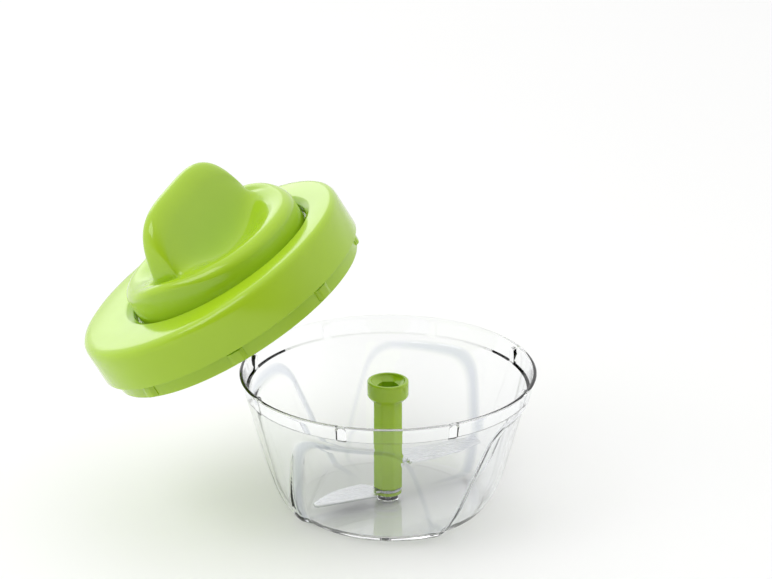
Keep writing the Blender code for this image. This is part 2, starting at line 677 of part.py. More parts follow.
def tooth_phases():
    """Angle of a tooth centre on pinion and idler, and of a gap centre on the ring, in degrees."""
    x, y = idler_place()
    pinion = math.degrees(math.atan2(y, x))
    idler = pinion + 180.0 + 180.0 / IDLER_TEETH
    outward = math.degrees(math.atan2(y, x - KNOB_OFFSET))
    ring = outward + (idler - outward) * IDLER_TEETH / RING_TEETH
    return pinion, idler, ring


def gear_outline(teeth, phase_deg, tip, root, half_thickness):
    """Involute outline; half_thickness is half a tooth's width on the pitch circle."""
    pitch = GEAR_MODULE * teeth / 2
    base = pitch * math.cos(math.radians(PRESSURE_DEG))

    def roll(radius):
        angle = math.acos(min(1.0, base / radius))
        return math.tan(angle) - angle

    lowest = max(base, root)
    radii = [lowest + (tip - lowest) * t for t in (0.0, 0.5, 1.0)]
    half = [half_thickness / pitch + roll(pitch) - roll(r) for r in radii]
    if root < lowest:
        radii.insert(0, root)
        half.insert(0, half[0])
    points = []
    for k in range(teeth):
        middle = math.radians(phase_deg) + 2 * math.pi * k / teeth
        flank = list(zip(radii, half))
        points += [(r * math.cos(middle - h), r * math.sin(middle - h)) for r, h in flank]
        points += [(r * math.cos(middle + h), r * math.sin(middle + h)) for r, h in reversed(flank)]
    return points


def external_gear(teeth, phase_deg):
    pitch = GEAR_MODULE * teeth / 2
    half = math.pi * GEAR_MODULE / 4 - BACKLASH / 2
    tip, root = pitch + ADDENDUM * GEAR_MODULE, pitch - DEDENDUM * GEAR_MODULE
    return gear_outline(teeth, phase_deg, tip, root, half)


def ring_gear_radii():
    """Outer radii of the ring gear's toothed part, of its neck and of its flange."""
    body = GEAR_MODULE * (RING_TEETH / 2 + DEDENDUM) + RING_GEAR_WALL
    return body, body + NECK_STEP, body + NECK_STEP + FLANGE_STEP


def knob_screw_circle():
    return ring_gear_radii()[0] - SCREW_HEAD_RADIUS


def build_ring_gear(material, axis):
    body, neck, rim = ring_gear_radii()
    low, flange, flange_top, floor_top = gear_levels()
    neck_top = floor_top + GAP
    bm = turned([(body, low), (body, flange), (rim, flange), (rim, flange_top), (neck, flange_top),
                 (neck, neck_top)], 48)
    gear = make_object("knob_ring_gear", bm, material, axis)
    pitch = GEAR_MODULE * RING_TEETH / 2
    half = math.pi * GEAR_MODULE / 4 + BACKLASH / 2
    space = gear_outline(RING_TEETH, tooth_phases()[2], pitch + DEDENDUM * GEAR_MODULE,
                         pitch - ADDENDUM * GEAR_MODULE, half)
    cutter = slab(space, low - 1 * MM, neck_top + 1 * MM)
    combine(gear, make_object("ring_space_guide", cutter, None, axis), 'DIFFERENCE')
    holes = bmesh.new()
    for angle in KNOB_SCREW_ANGLES:
        add_copy(holes, turned([(SCREW_RADIUS + GAP, low - 1 * MM),
                                (SCREW_RADIUS + GAP, neck_top + 1 * MM)], 12),
                 *polar(knob_screw_circle(), WING_HEADING_DEG + angle))
    combine(gear, make_object("ring_holes_guide", holes, None, axis), 'DIFFERENCE')
    return gear


def build_idler_gear(material, axis):
    low, high = gear_levels()[:2]
    outline = external_gear(IDLER_TEETH, tooth_phases()[1])
    gear = make_object("idler_gear", slab(outline, low, high), material, axis)
    bore = turned([(IDLER_PIN_RADIUS + GAP, low - 1 * MM), (IDLER_PIN_RADIUS + GAP, high + 1 * MM)], 16)
    combine(gear, make_object("idler_bore_guide", bore, None, axis), 'DIFFERENCE')
    return gear


def build_coupler(material, frame):
    """Pinion, journal with a clip groove, and the hexagonal stub that drives the cup."""
    low, high = gear_levels()[:2]
    clip_low, clip_high = clip_levels()
    stub_top = clip_low - 1.2 * MM
    bottom = -CUP_DROP + GAP - hex_depths()[1] + 1.0 * MM
    outline = external_gear(PINION_TEETH, tooth_phases()[0])
    coupler = make_object("coupler", slab(outline, low, high), material, frame)
    groove = JOURNAL_RADIUS - 1.0 * MM
    journal = turned([(JOURNAL_RADIUS, stub_top), (JOURNAL_RADIUS, clip_low - GAP), (groove, clip_low - GAP),
                      (groove, clip_high + GAP), (JOURNAL_RADIUS, clip_high + GAP),
                      (JOURNAL_RADIUS, (low + high) / 2)], 32)
    combine(coupler, make_object("journal_guide", journal, None, frame), 'UNION')
    stub = slab(polygon(HEX_FLATS, 6), bottom, stub_top + 0.5 * MM)
    combine(coupler, make_object("stub_guide", stub, None, frame), 'UNION')
    return coupler


def clip_levels():
    """Bottom and top of the clip, in the space under the hub bush."""
    high = hold_levels()[2] + 0.6 * MM
    return high - 0.6 * MM, high


def build_coupler_clip(material, frame):
    low, high = clip_levels()
    outer = JOURNAL_RADIUS + 2.0 * MM
    inner = JOURNAL_RADIUS - 0.7 * MM
    sweep = np.radians(np.linspace(35.0, 325.0, 25))
    outline = [(outer * math.cos(a), outer * math.sin(a)) for a in sweep]
    outline += [(inner * math.cos(a), inner * math.sin(a)) for a in reversed(sweep)]
    return make_object("coupler_clip", slab(outline, low, high), material, frame)


# ---------------------------------------------------------------- knob

def knob_height(u, v):
    """Top surface above the seat plane; u runs along the wing, v across it."""
    radius = math.hypot(u, v)
    top = LID_HEIGHT + KNOB_RISE
    edge = max(0.0, radius - (KNOB_RADIUS - KNOB_ROUND))
    rim = top - KNOB_ROUND + math.sqrt(max(0.0, KNOB_ROUND ** 2 - edge ** 2))
    disc = rim - WELL_DEPTH * (1.0 - smooth_step((radius / WELL_RADIUS - 0.35) / 0.65))
    disc += END_RAISE * (u / KNOB_RADIUS) ** 4 * max(0.0, 1.0 - (v / KNOB_RADIUS) ** 2)
    along = min(1.0, abs(u) / WING_HALF_LENGTH)
    crest = top + WING_RISE * (1.0 - along ** 3.6) ** 0.34
    height = crest - disc
    if height <= 0.0:
        return disc
    across = min(1.0, abs(v) / WING_HALF_WIDTH)
    fall = WING_ROUND * (1.0 - math.sqrt(1.0 - across ** 2.2))
    steepness = WING_STEEPNESS * (1.0 - END_FLARE * min(1.0, (u / KNOB_RADIUS) ** 2))
    reach = (fall + steepness * max(0.0, abs(v) - WING_HALF_WIDTH)) / height
    return disc + height * (1.0 - reach / (1.0 + reach ** 2.0) ** 0.5)


def knob_under(u, v):
    """Underside of the knob's wall, a constant distance inside the top surface."""
    lowest = knob_height(u, v) - KNOB_WALL
    for k in range(12):
        du, dv = polar(KNOB_WALL, 30.0 * k)
        if math.hypot(u + du, v + dv) < KNOB_RADIUS:
            lowest = min(lowest, knob_height(u + du, v + dv))
    return lowest


def knob_sheet(limit, surface, across, along):
    """Rows of points over a disc of radius limit; each row has constant v."""
    rows = []
    for v in across:
        half = math.sqrt(max(0.0, limit ** 2 - v ** 2))
        us = [-half * math.cos(math.pi * j / along) for j in range(along + 1)]
        rows.append([(u, v, surface(u, v)) for u in us])
    return rows


def row_places(limit):
    """Row positions across the wing, closer together on its sides and at the rim."""
    half_width = WING_HALF_WIDTH
    side = [half_width * share for share in (0.3, 0.6, 0.8, 0.93, 1.0)]
    side += [half_width + step * MM for step in (0.8, 1.8, 3.2, 5.2, 8.0)]
    outer = [side[-1] + (limit - side[-1]) * math.sin(math.pi / 2 * t)
             for t in (0.2, 0.4, 0.58, 0.74, 0.87, 0.96)]
    half = side + outer
    return [-v for v in reversed(half)] + [0.0] + half


def close_sheet(bm, rows, skirt_z, limit):
    """Stitch rows into a sheet whose rim ring drops to skirt_z; returns the skirt's lower ring."""
    grid = [[bm.verts.new(p) for p in row] for row in rows]
    for near, far in zip(grid, grid[1:]):
        for j in range(len(near) - 1):
            bm.faces.new((near[j], near[j + 1], far[j + 1], far[j]))
    rim = (grid[0] + [row[-1] for row in grid[1:-1]] + list(reversed(grid[-1]))
           + [row[0] for row in reversed(grid[1:-1])])
    lower = []
    for vert in rim:
        out = Vector((vert.co.x, vert.co.y, 0.0)).normalized() * limit
        lower.append(bm.verts.new((out.x, out.y, skirt_z)))
    for i in range(len(rim)):
        j = (i + 1) % len(rim)
        bm.faces.new((rim[j], rim[i], lower[i], lower[j]))
    return lower


def build_knob_shell(material, axis):
    skirt_z = gear_levels()[3] + 0.8 * MM
    bm = bmesh.new()
    edge = KNOB_RADIUS - 0.05 * MM
    inner = KNOB_RADIUS - KNOB_WALL
    outer_low = close_sheet(bm, knob_sheet(edge, knob_height, row_places(edge), 32), skirt_z, KNOB_RADIUS)
    inner_low = close_sheet(bm, knob_sheet(inner, knob_under, row_places(inner), 32), skirt_z, inner)
    for i in range(len(outer_low)):
        j = (i + 1) % len(outer_low)
        bm.faces.new((outer_low[i], outer_low[j], inner_low[j], inner_low[i]))
    shifted(bm, turn_deg=WING_HEADING_DEG)
    shell = make_object("knob_shell", bm, material, axis, 40.0)
    post_low = gear_levels()[3] + 2 * GAP
    posts = bmesh.new()
    bores = bmesh.new()
    for angle in KNOB_SCREW_ANGLES:
        u, v = polar(knob_screw_circle(), angle)
        post_top = knob_height(u, v) - KNOB_WALL / 2
        place = polar(knob_screw_circle(), WING_HEADING_DEG + angle)
        post = SCREW_RADIUS + POST_WALL
        add_copy(posts, turned([(post, post_low), (post, post_top)], 12), *place)
        add_copy(bores, turned([(SCREW_RADIUS + GAP, post_low - 1 * MM),
                                (SCREW_RADIUS + GAP, post_top - 3 * MM)], 12), *place)
    combine(shell, make_object("knob_posts_guide", posts, None, axis), 'UNION')
    combine(shell, make_object("knob_bores_guide", bores, None, axis), 'DIFFERENCE')
    return shell


# ---------------------------------------------------------------- assembly

def lid_swing_axis():
    """The fixed point of the move that takes the tilted lid to upright above its seat."""
    held = Vector((-LID_REACH, 0.0, BOWL_HEIGHT + LID_HOVER))
    over = Vector((0.0, 0.0, BOWL_HEIGHT + GAP + LID_LIFT))
    move = over - held
    aside = Vector((move.z, 0.0, -move.x)) / (2 * math.tan(math.radians(LID_TILT_DEG) / 2))
    return (held + over) / 2 + aside, held


def build_bowl_body(clear, steel):
    build_bowl(clear)
    build_pivot_pin(steel)


def build_blade_unit(green, steel, nylon):
    axis = make_empty("blade_axis", (0.0, 0.0, 0.0))
    build_blade_shaft(green, axis)
    build_upper_blade(steel, axis)
    build_lower_blade(steel, axis)
    build_shaft_foot(green, axis)
    build_shaft_bush(nylon, axis)


def build_lid(green, steel, nylon):
    pivot, held = lid_swing_axis()
    swing = make_empty("lid_swing_axis", pivot)
    frame = make_empty("lid_frame", held - pivot, swing, -LID_TILT_DEG)
    build_hold_down(nylon, frame)
    build_hold_spring(steel, frame)
    build_lid_cover(green, frame)
    build_underplate(green, frame)
    build_hub_bush(nylon, frame)
    build_idler_pin(steel, frame)
    for number, angle in enumerate(LID_SCREW_ANGLES, 1):
        x, y = screw_place(angle)
        build_screw(f"lid_screw_{number}", steel, frame, x, y, -GAP, LID_HEIGHT - LID_WALL - 3 * MM)
    return frame


def build_drive(frame, green, steel, nylon):
    knob = make_empty("knob_axis", (KNOB_OFFSET, 0.0, 0.0), frame)
    build_knob_shell(green, knob)
    build_ring_gear(nylon, knob)
    low = gear_levels()[0]
    for number, angle in enumerate(KNOB_SCREW_ANGLES, 1):
        x, y = polar(knob_screw_circle(), WING_HEADING_DEG + angle)
        tip = knob_height(*polar(knob_screw_circle(), angle)) - KNOB_WALL / 2 - 4 * MM
        build_screw(f"knob_screw_{number}", steel, knob, x, y, low - GAP, tip)
    x, y = idler_place()
    idler = make_empty("idler_axis", (x, y, 0.0), frame)
    build_idler_gear(nylon, idler)
    build_coupler(nylon, frame)
    build_coupler_clip(steel, frame)


def main():
    clear_scene()
    green = make_material("green_gloss_plastic", GREEN, 0.22)
    clear = make_material("clear_plastic", CLEAR, 0.03, transmission=1.0)
    steel = make_material("stainless_steel", STEEL, 0.25, metallic=1.0)
    nylon = make_material("white_nylon", WHITE_NYLON, 0.45)
    build_bowl_body(clear, steel)
    build_blade_unit(green, steel, nylon)
    frame = build_lid(green, steel, nylon)
    build_drive(frame, green, steel, nylon)


main()
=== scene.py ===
import bpy
import json
import math
import numpy as np
from mathutils import Matrix, Vector


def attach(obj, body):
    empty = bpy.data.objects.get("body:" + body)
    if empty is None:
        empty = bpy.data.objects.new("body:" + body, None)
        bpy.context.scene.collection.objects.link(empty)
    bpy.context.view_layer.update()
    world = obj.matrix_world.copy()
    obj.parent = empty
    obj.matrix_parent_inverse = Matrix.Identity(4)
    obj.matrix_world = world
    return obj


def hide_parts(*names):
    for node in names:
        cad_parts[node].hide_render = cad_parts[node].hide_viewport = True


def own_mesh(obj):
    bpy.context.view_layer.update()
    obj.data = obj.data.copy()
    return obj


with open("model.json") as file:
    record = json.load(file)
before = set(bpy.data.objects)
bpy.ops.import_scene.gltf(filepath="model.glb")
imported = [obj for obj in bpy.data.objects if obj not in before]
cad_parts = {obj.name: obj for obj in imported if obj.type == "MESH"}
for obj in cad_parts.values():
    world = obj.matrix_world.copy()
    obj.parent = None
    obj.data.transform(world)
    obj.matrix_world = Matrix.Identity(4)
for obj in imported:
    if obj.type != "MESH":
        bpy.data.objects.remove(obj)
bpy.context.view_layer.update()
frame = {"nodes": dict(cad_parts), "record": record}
mm = 0.001
print("frame loaded:", len(frame["nodes"]), "nodes")


# shared measures: the rim and the lid have to agree wherever they meet
shared = {
    "rimRadius": 75.0 * mm, "bowlHeight": 73.0 * mm, "bandWall": 2.1 * mm, "bandDraft": 1.2 * mm,
    "ribCount": 8, "ribDepth": 1.0 * mm, "ribFirst": -18.6, "gap": 0.3 * mm,
    "lidHeight": 22.0 * mm, "lidWall": 1.6 * mm, "knobOffset": 6.0 * mm, "knobRadius": 48.5 * mm,
    "recessDepth": 6.0 * mm, "cupRadius": 10.5 * mm, "plate": 1.5 * mm,
}
joints = {j["name"]: j for j in frame["record"]["behaviour"]["joints"]}
lidAxis = Vector(joints["lid_seat"]["axis"]).normalized()
seatCentre = Vector(joints["coupler_spin"]["pos_m"])


def lidMatrix():
    # columns are the lid's own x, y and z, with the seat plane's centre as origin
    across = Vector((0.0, 1.0, 0.0)).cross(lidAxis).normalized()
    turned = Matrix((across, Vector((0.0, 1.0, 0.0)), lidAxis)).transposed().to_4x4()
    return Matrix.Translation(seatCentre) @ turned


def smoothStep(value):
    t = np.clip(value, 0.0, 1.0)
    return t * t * (3.0 - 2.0 * t)


def softMin(a, b, radius):
    h = np.maximum(radius - np.abs(a - b), 0.0)
    return np.minimum(a, b) - h * h / (4.0 * radius)


# meshes

def finishMesh(name, points, faces, matrix=None, sharpAngle=38.0):
    mesh = bpy.data.meshes.new(name)
    mesh.from_pydata([tuple(p) for p in points], [], faces)
    if matrix:
        mesh.transform(matrix)
    mesh.validate()
    mesh.shade_smooth()
    mesh.set_sharp_from_angle(angle=math.radians(sharpAngle))
    piece = bpy.data.objects.new(name, mesh)
    bpy.context.collection.objects.link(piece)
    return piece


def loftRings(name, rings, matrix=None, loop=False, sharpAngle=38.0):
    # quads between rings of equal count; open ends are closed with one flat face
    count = len(rings[0])
    points = np.vstack(rings)
    faces = []
    pairs = [(k, k + 1) for k in range(len(rings) - 1)] + ([(len(rings) - 1, 0)] if loop else [])
    for low, high in pairs:
        for i in range(count):
            j = (i + 1) % count
            faces.append((low * count + i, low * count + j, high * count + j, high * count + i))
    if not loop:
        last = (len(rings) - 1) * count
        faces.append(tuple(reversed(range(count))))
        faces.append(tuple(range(last, last + count)))
    piece = finishMesh(name, points, faces, matrix, sharpAngle)
    faceOutwards(piece.data)
    return piece


def faceOutwards(mesh):
    # the signed volume tells whether a closed mesh is inside out
    mesh.calc_loop_triangles()
    co = np.array([v.co for v in mesh.vertices])
    tris = np.array([t.vertices for t in mesh.loop_triangles])
    a, b, c = co[tris[:, 0]], co[tris[:, 1]], co[tris[:, 2]]
    if np.einsum("ij,ij->i", a, np.cross(b, c)).sum() < 0.0:
        mesh.flip_normals()


def turnedRing(radius, z, count, centreX=0.0):
    angle = np.linspace(0.0, 2 * np.pi, count, endpoint=False)
    return np.column_stack([centreX + radius * np.cos(angle), radius * np.sin(angle), np.full(count, z)])


def filleted(corners, steps=5):
    # corners are (radius, z, centreX, fillet); each corner becomes a short arc
    result = []
    total = len(corners)
    for k, (radius, z, centreX, fillet) in enumerate(corners):
        here = np.array([radius, z, centreX])
        if fillet <= 0.0:
            result.append(here)
            continue
        before = np.array(corners[k - 1][:3]) - here
        after = np.array(corners[(k + 1) % total][:3]) - here
        reach = min(fillet, 0.45 * np.linalg.norm(before[:2]), 0.45 * np.linalg.norm(after[:2]))
        start = here + before / np.linalg.norm(before[:2]) * reach
        end = here + after / np.linalg.norm(after[:2]) * reach
        for t in np.linspace(0.0, 1.0, steps):
            result.append((1 - t) ** 2 * start + 2 * t * (1 - t) * here + t ** 2 * end)
    return result


# geometry node trees

def newTree(name, inputs):
    tree = bpy.data.node_groups.new(name, "GeometryNodeTree")
    tree.interface.new_socket("Geometry", in_out="INPUT", socket_type="NodeSocketGeometry")
    for label, kind, value in inputs:
        socket = tree.interface.new_socket(label, in_out="INPUT", socket_type=kind)
        if value is not None:
            socket.default_value = value
    tree.interface.new_socket("Geometry", in_out="OUTPUT", socket_type="NodeSocketGeometry")
    source, sink = tree.nodes.new("NodeGroupInput"), tree.nodes.new("NodeGroupOutput")
    return tree, source, sink


def endTree(tree, source, sink, geometry):
    realize = tree.nodes.new("GeometryNodeRealizeInstances")
    paint = tree.nodes.new("GeometryNodeSetMaterial")
    tree.links.new(geometry, realize.inputs["Geometry"])
    tree.links.new(realize.outputs["Geometry"], paint.inputs["Geometry"])
    tree.links.new(source.outputs["Material"], paint.inputs["Material"])
    tree.links.new(paint.outputs["Geometry"], sink.inputs["Geometry"])


def mathNode(tree, operation, a, b):
    node = tree.nodes.new("ShaderNodeMath")
    node.operation = operation
    for socket, value in zip(node.inputs, (a, b)):
        if isinstance(value, (int, float)):
            socket.default_value = value
        else:
            tree.links.new(value, socket)
    return node.outputs[0]


def growPiece(name, tree, values, base=None, matrix=None):
    host = bpy.data.objects.new(name, base or bpy.data.meshes.new(name + "Base"))
    bpy.context.collection.objects.link(host)
    modifier = host.modifiers.new("grow", "NODES")
    modifier.node_group = tree
    for item in tree.interface.items_tree:
        if item.item_type == "SOCKET" and item.in_out == "INPUT" and item.name in values:
            modifier[item.identifier] = values[item.name]
    grown = host.evaluated_get(bpy.context.evaluated_depsgraph_get())
    mesh = bpy.data.meshes.new_from_object(grown)
    host.modifiers.clear()
    if matrix:
        mesh.transform(matrix)
    mesh.shade_smooth()
    mesh.set_sharp_from_angle(angle=math.radians(35.0))
    host.data = mesh
    return host


# surface effects shared by several materials

def newGroup(name, inputs, outputs):
    group = bpy.data.node_groups.new(name, "ShaderNodeTree")
    for label, kind, value in inputs:
        group.interface.new_socket(label, in_out="INPUT", socket_type=kind).default_value = value
    for label, kind in outputs:
        group.interface.new_socket(label, in_out="OUTPUT", socket_type=kind)
    return group, group.nodes.new("NodeGroupInput"), group.nodes.new("NodeGroupOutput")


def addNoise(tree, vector, scale, detail=3.0):
    noise = tree.nodes.new("ShaderNodeTexNoise")
    noise.inputs["Detail"].default_value = detail
    tree.links.new(vector, noise.inputs["Vector"])
    if isinstance(scale, float):
        noise.inputs["Scale"].default_value = scale
    else:
        tree.links.new(scale, noise.inputs["Scale"])
    return noise.outputs["Fac"]


def remap(tree, value, low, high, toLow, toHigh):
    node = tree.nodes.new("ShaderNodeMapRange")
    for label, given in (("Value", value), ("From Min", low), ("From Max", high),
                         ("To Min", toLow), ("To Max", toHigh)):
        if isinstance(given, (int, float)):
            node.inputs[label].default_value = given
        else:
            tree.links.new(given, node.inputs[label])
    return node.outputs["Result"]


def mouldedGroup():
    # cloudy colour, uneven gloss and a faint skin, as on moulded plastic
    group, source, sink = newGroup(
        "mouldedSkin",
        [("Colour", "NodeSocketColor", (0.5, 0.5, 0.5, 1.0)), ("Cloud Scale", "NodeSocketFloat", 22.0),
         ("Cloud Amount", "NodeSocketFloat", 0.05), ("Gloss Low", "NodeSocketFloat", 0.15),
         ("Gloss High", "NodeSocketFloat", 0.25), ("Grain Scale", "NodeSocketFloat", 900.0)],
        [("Colour", "NodeSocketColor"), ("Roughness", "NodeSocketFloat"), ("Height", "NodeSocketFloat")])
    place = group.nodes.new("ShaderNodeTexCoord").outputs["Object"]
    cloud = addNoise(group, place, source.outputs["Cloud Scale"])
    darkest = mathNode(group, "SUBTRACT", 1.0, source.outputs["Cloud Amount"])
    lightest = mathNode(group, "ADD", 1.0, source.outputs["Cloud Amount"])
    factor = remap(group, cloud, 0.3, 0.7, darkest, lightest)
    scaled = group.nodes.new("ShaderNodeVectorMath")
    scaled.operation = "SCALE"
    group.links.new(source.outputs["Colour"], scaled.inputs[0])
    group.links.new(factor, scaled.inputs["Scale"])
    gloss = remap(group, addNoise(group, place, 70.0, 5.0), 0.3, 0.7,
                  source.outputs["Gloss Low"], source.outputs["Gloss High"])
    grain = addNoise(group, place, source.outputs["Grain Scale"], 2.0)
    group.links.new(scaled.outputs[0], sink.inputs["Colour"])
    group.links.new(gloss, sink.inputs["Roughness"])
    group.links.new(grain, sink.inputs["Height"])
    return group


def scratchGroup():
    # hairline marks from handling and washing, in two crossing directions
    group, source, sink = newGroup(
        "hairlineMarks",
        [("Length", "NodeSocketFloat", 30.0), ("Fineness", "NodeSocketFloat", 1400.0),
         ("Sparseness", "NodeSocketFloat", 0.66)], [("Mask", "NodeSocketFloat")])
    place = group.nodes.new("ShaderNodeTexCoord").outputs["Object"]
    masks = []
    for turn in (0.5, -0.9):
        stretch = group.nodes.new("ShaderNodeMapping")
        stretch.inputs["Rotation"].default_value = (turn, turn * 0.6, turn)
        size = group.nodes.new("ShaderNodeCombineXYZ")
        group.links.new(source.outputs["Length"], size.inputs["X"])
        group.links.new(source.outputs["Fineness"], size.inputs["Y"])
        group.links.new(source.outputs["Fineness"], size.inputs["Z"])
        group.links.new(place, stretch.inputs["Vector"])
        group.links.new(size.outputs[0], stretch.inputs["Scale"])
        lines = addNoise(group, stretch.outputs["Vector"], 1.0, 1.0)
        full = mathNode(group, "ADD", source.outputs["Sparseness"], 0.08)
        masks.append(remap(group, lines, source.outputs["Sparseness"], full, 0.0, 1.0))
    group.links.new(mathNode(group, "MAXIMUM", *masks), sink.inputs["Mask"])
    return group


def grainGroup():
    # long grinding lines along the blade
    group, source, sink = newGroup(
        "groundLines",
        [("Along", "NodeSocketFloat", 12.0), ("Across", "NodeSocketFloat", 1100.0),
         ("Turn", "NodeSocketFloat", 0.0), ("Gloss Low", "NodeSocketFloat", 0.2),
         ("Gloss High", "NodeSocketFloat", 0.38)],
        [("Roughness", "NodeSocketFloat"), ("Height", "NodeSocketFloat")])
    place = group.nodes.new("ShaderNodeTexCoord").outputs["Object"]
    turn = group.nodes.new("ShaderNodeVectorRotate")
    turn.rotation_type = "Z_AXIS"
    group.links.new(place, turn.inputs["Vector"])
    group.links.new(source.outputs["Turn"], turn.inputs["Angle"])
    size = group.nodes.new("ShaderNodeCombineXYZ")
    group.links.new(source.outputs["Along"], size.inputs["X"])
    group.links.new(source.outputs["Across"], size.inputs["Y"])
    group.links.new(source.outputs["Across"], size.inputs["Z"])
    scaled = group.nodes.new("ShaderNodeVectorMath")
    scaled.operation = "MULTIPLY"
    group.links.new(turn.outputs[0], scaled.inputs[0])
    group.links.new(size.outputs[0], scaled.inputs[1])
    lines = addNoise(group, scaled.outputs[0], 1.0, 4.0)
    rough = remap(group, lines, 0.3, 0.7, source.outputs["Gloss Low"], source.outputs["Gloss High"])
    group.links.new(rough, sink.inputs["Roughness"])
    group.links.new(lines, sink.inputs["Height"])
    return group


def newMaterial(name, plain):
    material = bpy.data.materials.new(name)
    material.use_nodes = True
    shader = material.node_tree.nodes["Principled BSDF"]
    for label, value in plain.items():
        shader.inputs[label].default_value = value
    return material, material.node_tree, shader


def placeGroup(tree, group, values):
    node = tree.nodes.new("ShaderNodeGroup")
    node.node_tree = group
    for label, value in values.items():
        node.inputs[label].default_value = value
    return node


def addBump(tree, shader, height, strength, distance):
    bump = tree.nodes.new("ShaderNodeBump")
    bump.inputs["Strength"].default_value = strength
    bump.inputs["Distance"].default_value = distance
    tree.links.new(height, bump.inputs["Height"])
    tree.links.new(bump.outputs["Normal"], shader.inputs["Normal"])


moulded, hairlines, ground = mouldedGroup(), scratchGroup(), grainGroup()


greenPlastic = {"colour": (0.385, 0.600, 0.018, 1.0), "cloud": 0.035, "glossLow": 0.12, "glossHigh": 0.18,
                "coat": 0.10, "coatGloss": 0.08, "scratches": 0.10}


def greenMaterial():
    own = greenPlastic
    material, tree, shader = newMaterial("glossyGreenPlastic", {
        "IOR": 1.5, "Coat Weight": own["coat"], "Coat Roughness": own["coatGloss"]})
    skin = placeGroup(tree, moulded, {"Colour": own["colour"], "Cloud Scale": 24.0,
                                      "Cloud Amount": own["cloud"], "Gloss Low": own["glossLow"],
                                      "Gloss High": own["glossHigh"], "Grain Scale": 700.0})
    marks = placeGroup(tree, hairlines, {"Length": 26.0, "Fineness": 1200.0, "Sparseness": 0.68})
    rough = mathNode(tree, "ADD", skin.outputs["Roughness"],
                     mathNode(tree, "MULTIPLY", marks.outputs["Mask"], own["scratches"]))
    tree.links.new(skin.outputs["Colour"], shader.inputs["Base Color"])
    tree.links.new(rough, shader.inputs["Roughness"])
    addBump(tree, shader, skin.outputs["Height"], 0.05, 0.0001)
    return material


# the step colour is a painted grey-blue shade for the panels' sloping steps, standing in for refraction
clearPlastic = {"face": (0.985, 0.99, 0.995, 1.0), "edge": (0.80, 0.835, 0.90, 1.0), "index": 1.42,
                "step": (0.52, 0.57, 0.68, 1.0), "stepShadeShare": 0.45, "shadowPass": 0.85,
                "edgeBlend": 0.22, "edgePower": 2.6, "glossLow": 0.01, "glossHigh": 0.04}


def clearMaterial():
    own = clearPlastic
    material, tree, shader = newMaterial("clearPlastic", {
        "IOR": own["index"], "Transmission Weight": 1.0, "Metallic": 0.0})
    weight = tree.nodes.new("ShaderNodeLayerWeight")
    weight.inputs["Blend"].default_value = own["edgeBlend"]
    edge = mathNode(tree, "POWER", weight.outputs["Facing"], own["edgePower"])
    tint = tree.nodes.new("ShaderNodeMix")
    tint.data_type = "RGBA"
    tint.inputs["A"].default_value = own["face"]
    tint.inputs["B"].default_value = own["edge"]
    tree.links.new(edge, tint.inputs["Factor"])
    marks = placeGroup(tree, hairlines, {"Length": 20.0, "Fineness": 1500.0, "Sparseness": 0.70})
    rough = remap(tree, marks.outputs["Mask"], 0.0, 1.0, own["glossLow"], own["glossHigh"])
    skin = placeGroup(tree, moulded, {"Colour": own["face"], "Grain Scale": 60.0})
    # painted grey-blue shade on the sloping steps of the pressed-in panels, standing in for refraction
    # through them
    slopes = tree.nodes.new("ShaderNodeAttribute")
    slopes.attribute_name = "stepShade"
    paintedStepShade = tree.nodes.new("ShaderNodeMix")
    paintedStepShade.data_type = "RGBA"
    paintedStepShade.inputs["B"].default_value = own["step"]
    stepFactor = mathNode(tree, "MULTIPLY", slopes.outputs["Fac"], own["stepShadeShare"])
    tree.links.new(stepFactor, paintedStepShade.inputs["Factor"])
    tree.links.new(tint.outputs["Result"], paintedStepShade.inputs["A"])
    tree.links.new(paintedStepShade.outputs["Result"], shader.inputs["Base Color"])
    tree.links.new(rough, shader.inputs["Roughness"])
    addBump(tree, shader, skin.outputs["Height"], 0.04, 0.0002)
    # light goes through to the floor instead of stopping in a full shadow
    path, through = tree.nodes.new("ShaderNodeLightPath"), tree.nodes.new("ShaderNodeBsdfTransparent")
    blend = tree.nodes.new("ShaderNodeMixShader")
    passing = mathNode(tree, "MULTIPLY", path.outputs["Is Shadow Ray"], own["shadowPass"])
    tree.links.new(passing, blend.inputs[0])
    tree.links.new(shader.outputs[0], blend.inputs[1])
    tree.links.new(through.outputs[0], blend.inputs[2])
    tree.links.new(blend.outputs[0], tree.nodes["Material Output"].inputs["Surface"])
    return material


steelFinish = {"colour": (0.66, 0.67, 0.68, 1.0), "glossLow": 0.20, "glossHigh": 0.36}


def steelMaterial(turn=0.0, name="groundSteel"):
    own = steelFinish
    material, tree, shader = newMaterial(name, {"Metallic": 1.0, "IOR": 2.5})
    lines = placeGroup(tree, ground, {"Turn": turn, "Gloss Low": own["glossLow"],
                                      "Gloss High": own["glossHigh"]})
    skin = placeGroup(tree, moulded, {"Colour": own["colour"], "Cloud Scale": 60.0, "Cloud Amount": 0.06})
    tree.links.new(skin.outputs["Colour"], shader.inputs["Base Color"])
    tree.links.new(lines.outputs["Roughness"], shader.inputs["Roughness"])
    addBump(tree, shader, lines.outputs["Height"], 0.12, 0.00005)
    return material


nylonFinish = {"colour": (0.74, 0.73, 0.67, 1.0), "glossLow": 0.38, "glossHigh": 0.52}


def nylonMaterial():
    own = nylonFinish
    material, tree, shader = newMaterial("naturalNylon", {"IOR": 1.53})
    skin = placeGroup(tree, moulded, {"Colour": own["colour"], "Cloud Scale": 80.0, "Cloud Amount": 0.05,
                                      "Gloss Low": own["glossLow"], "Gloss High": own["glossHigh"],
                                      "Grain Scale": 1500.0})
    tree.links.new(skin.outputs["Colour"], shader.inputs["Base Color"])
    tree.links.new(skin.outputs["Roughness"], shader.inputs["Roughness"])
    addBump(tree, shader, skin.outputs["Height"], 0.15, 0.0001)
    return material


bladeTurn = -math.radians(25.0)   # grinding lines follow the blades' heading
green, clear, nylon = greenMaterial(), clearMaterial(), nylonMaterial()
steel, bladeSteel = steelMaterial(), steelMaterial(bladeTurn, "groundBladeSteel")
print("materials made")


# bowl

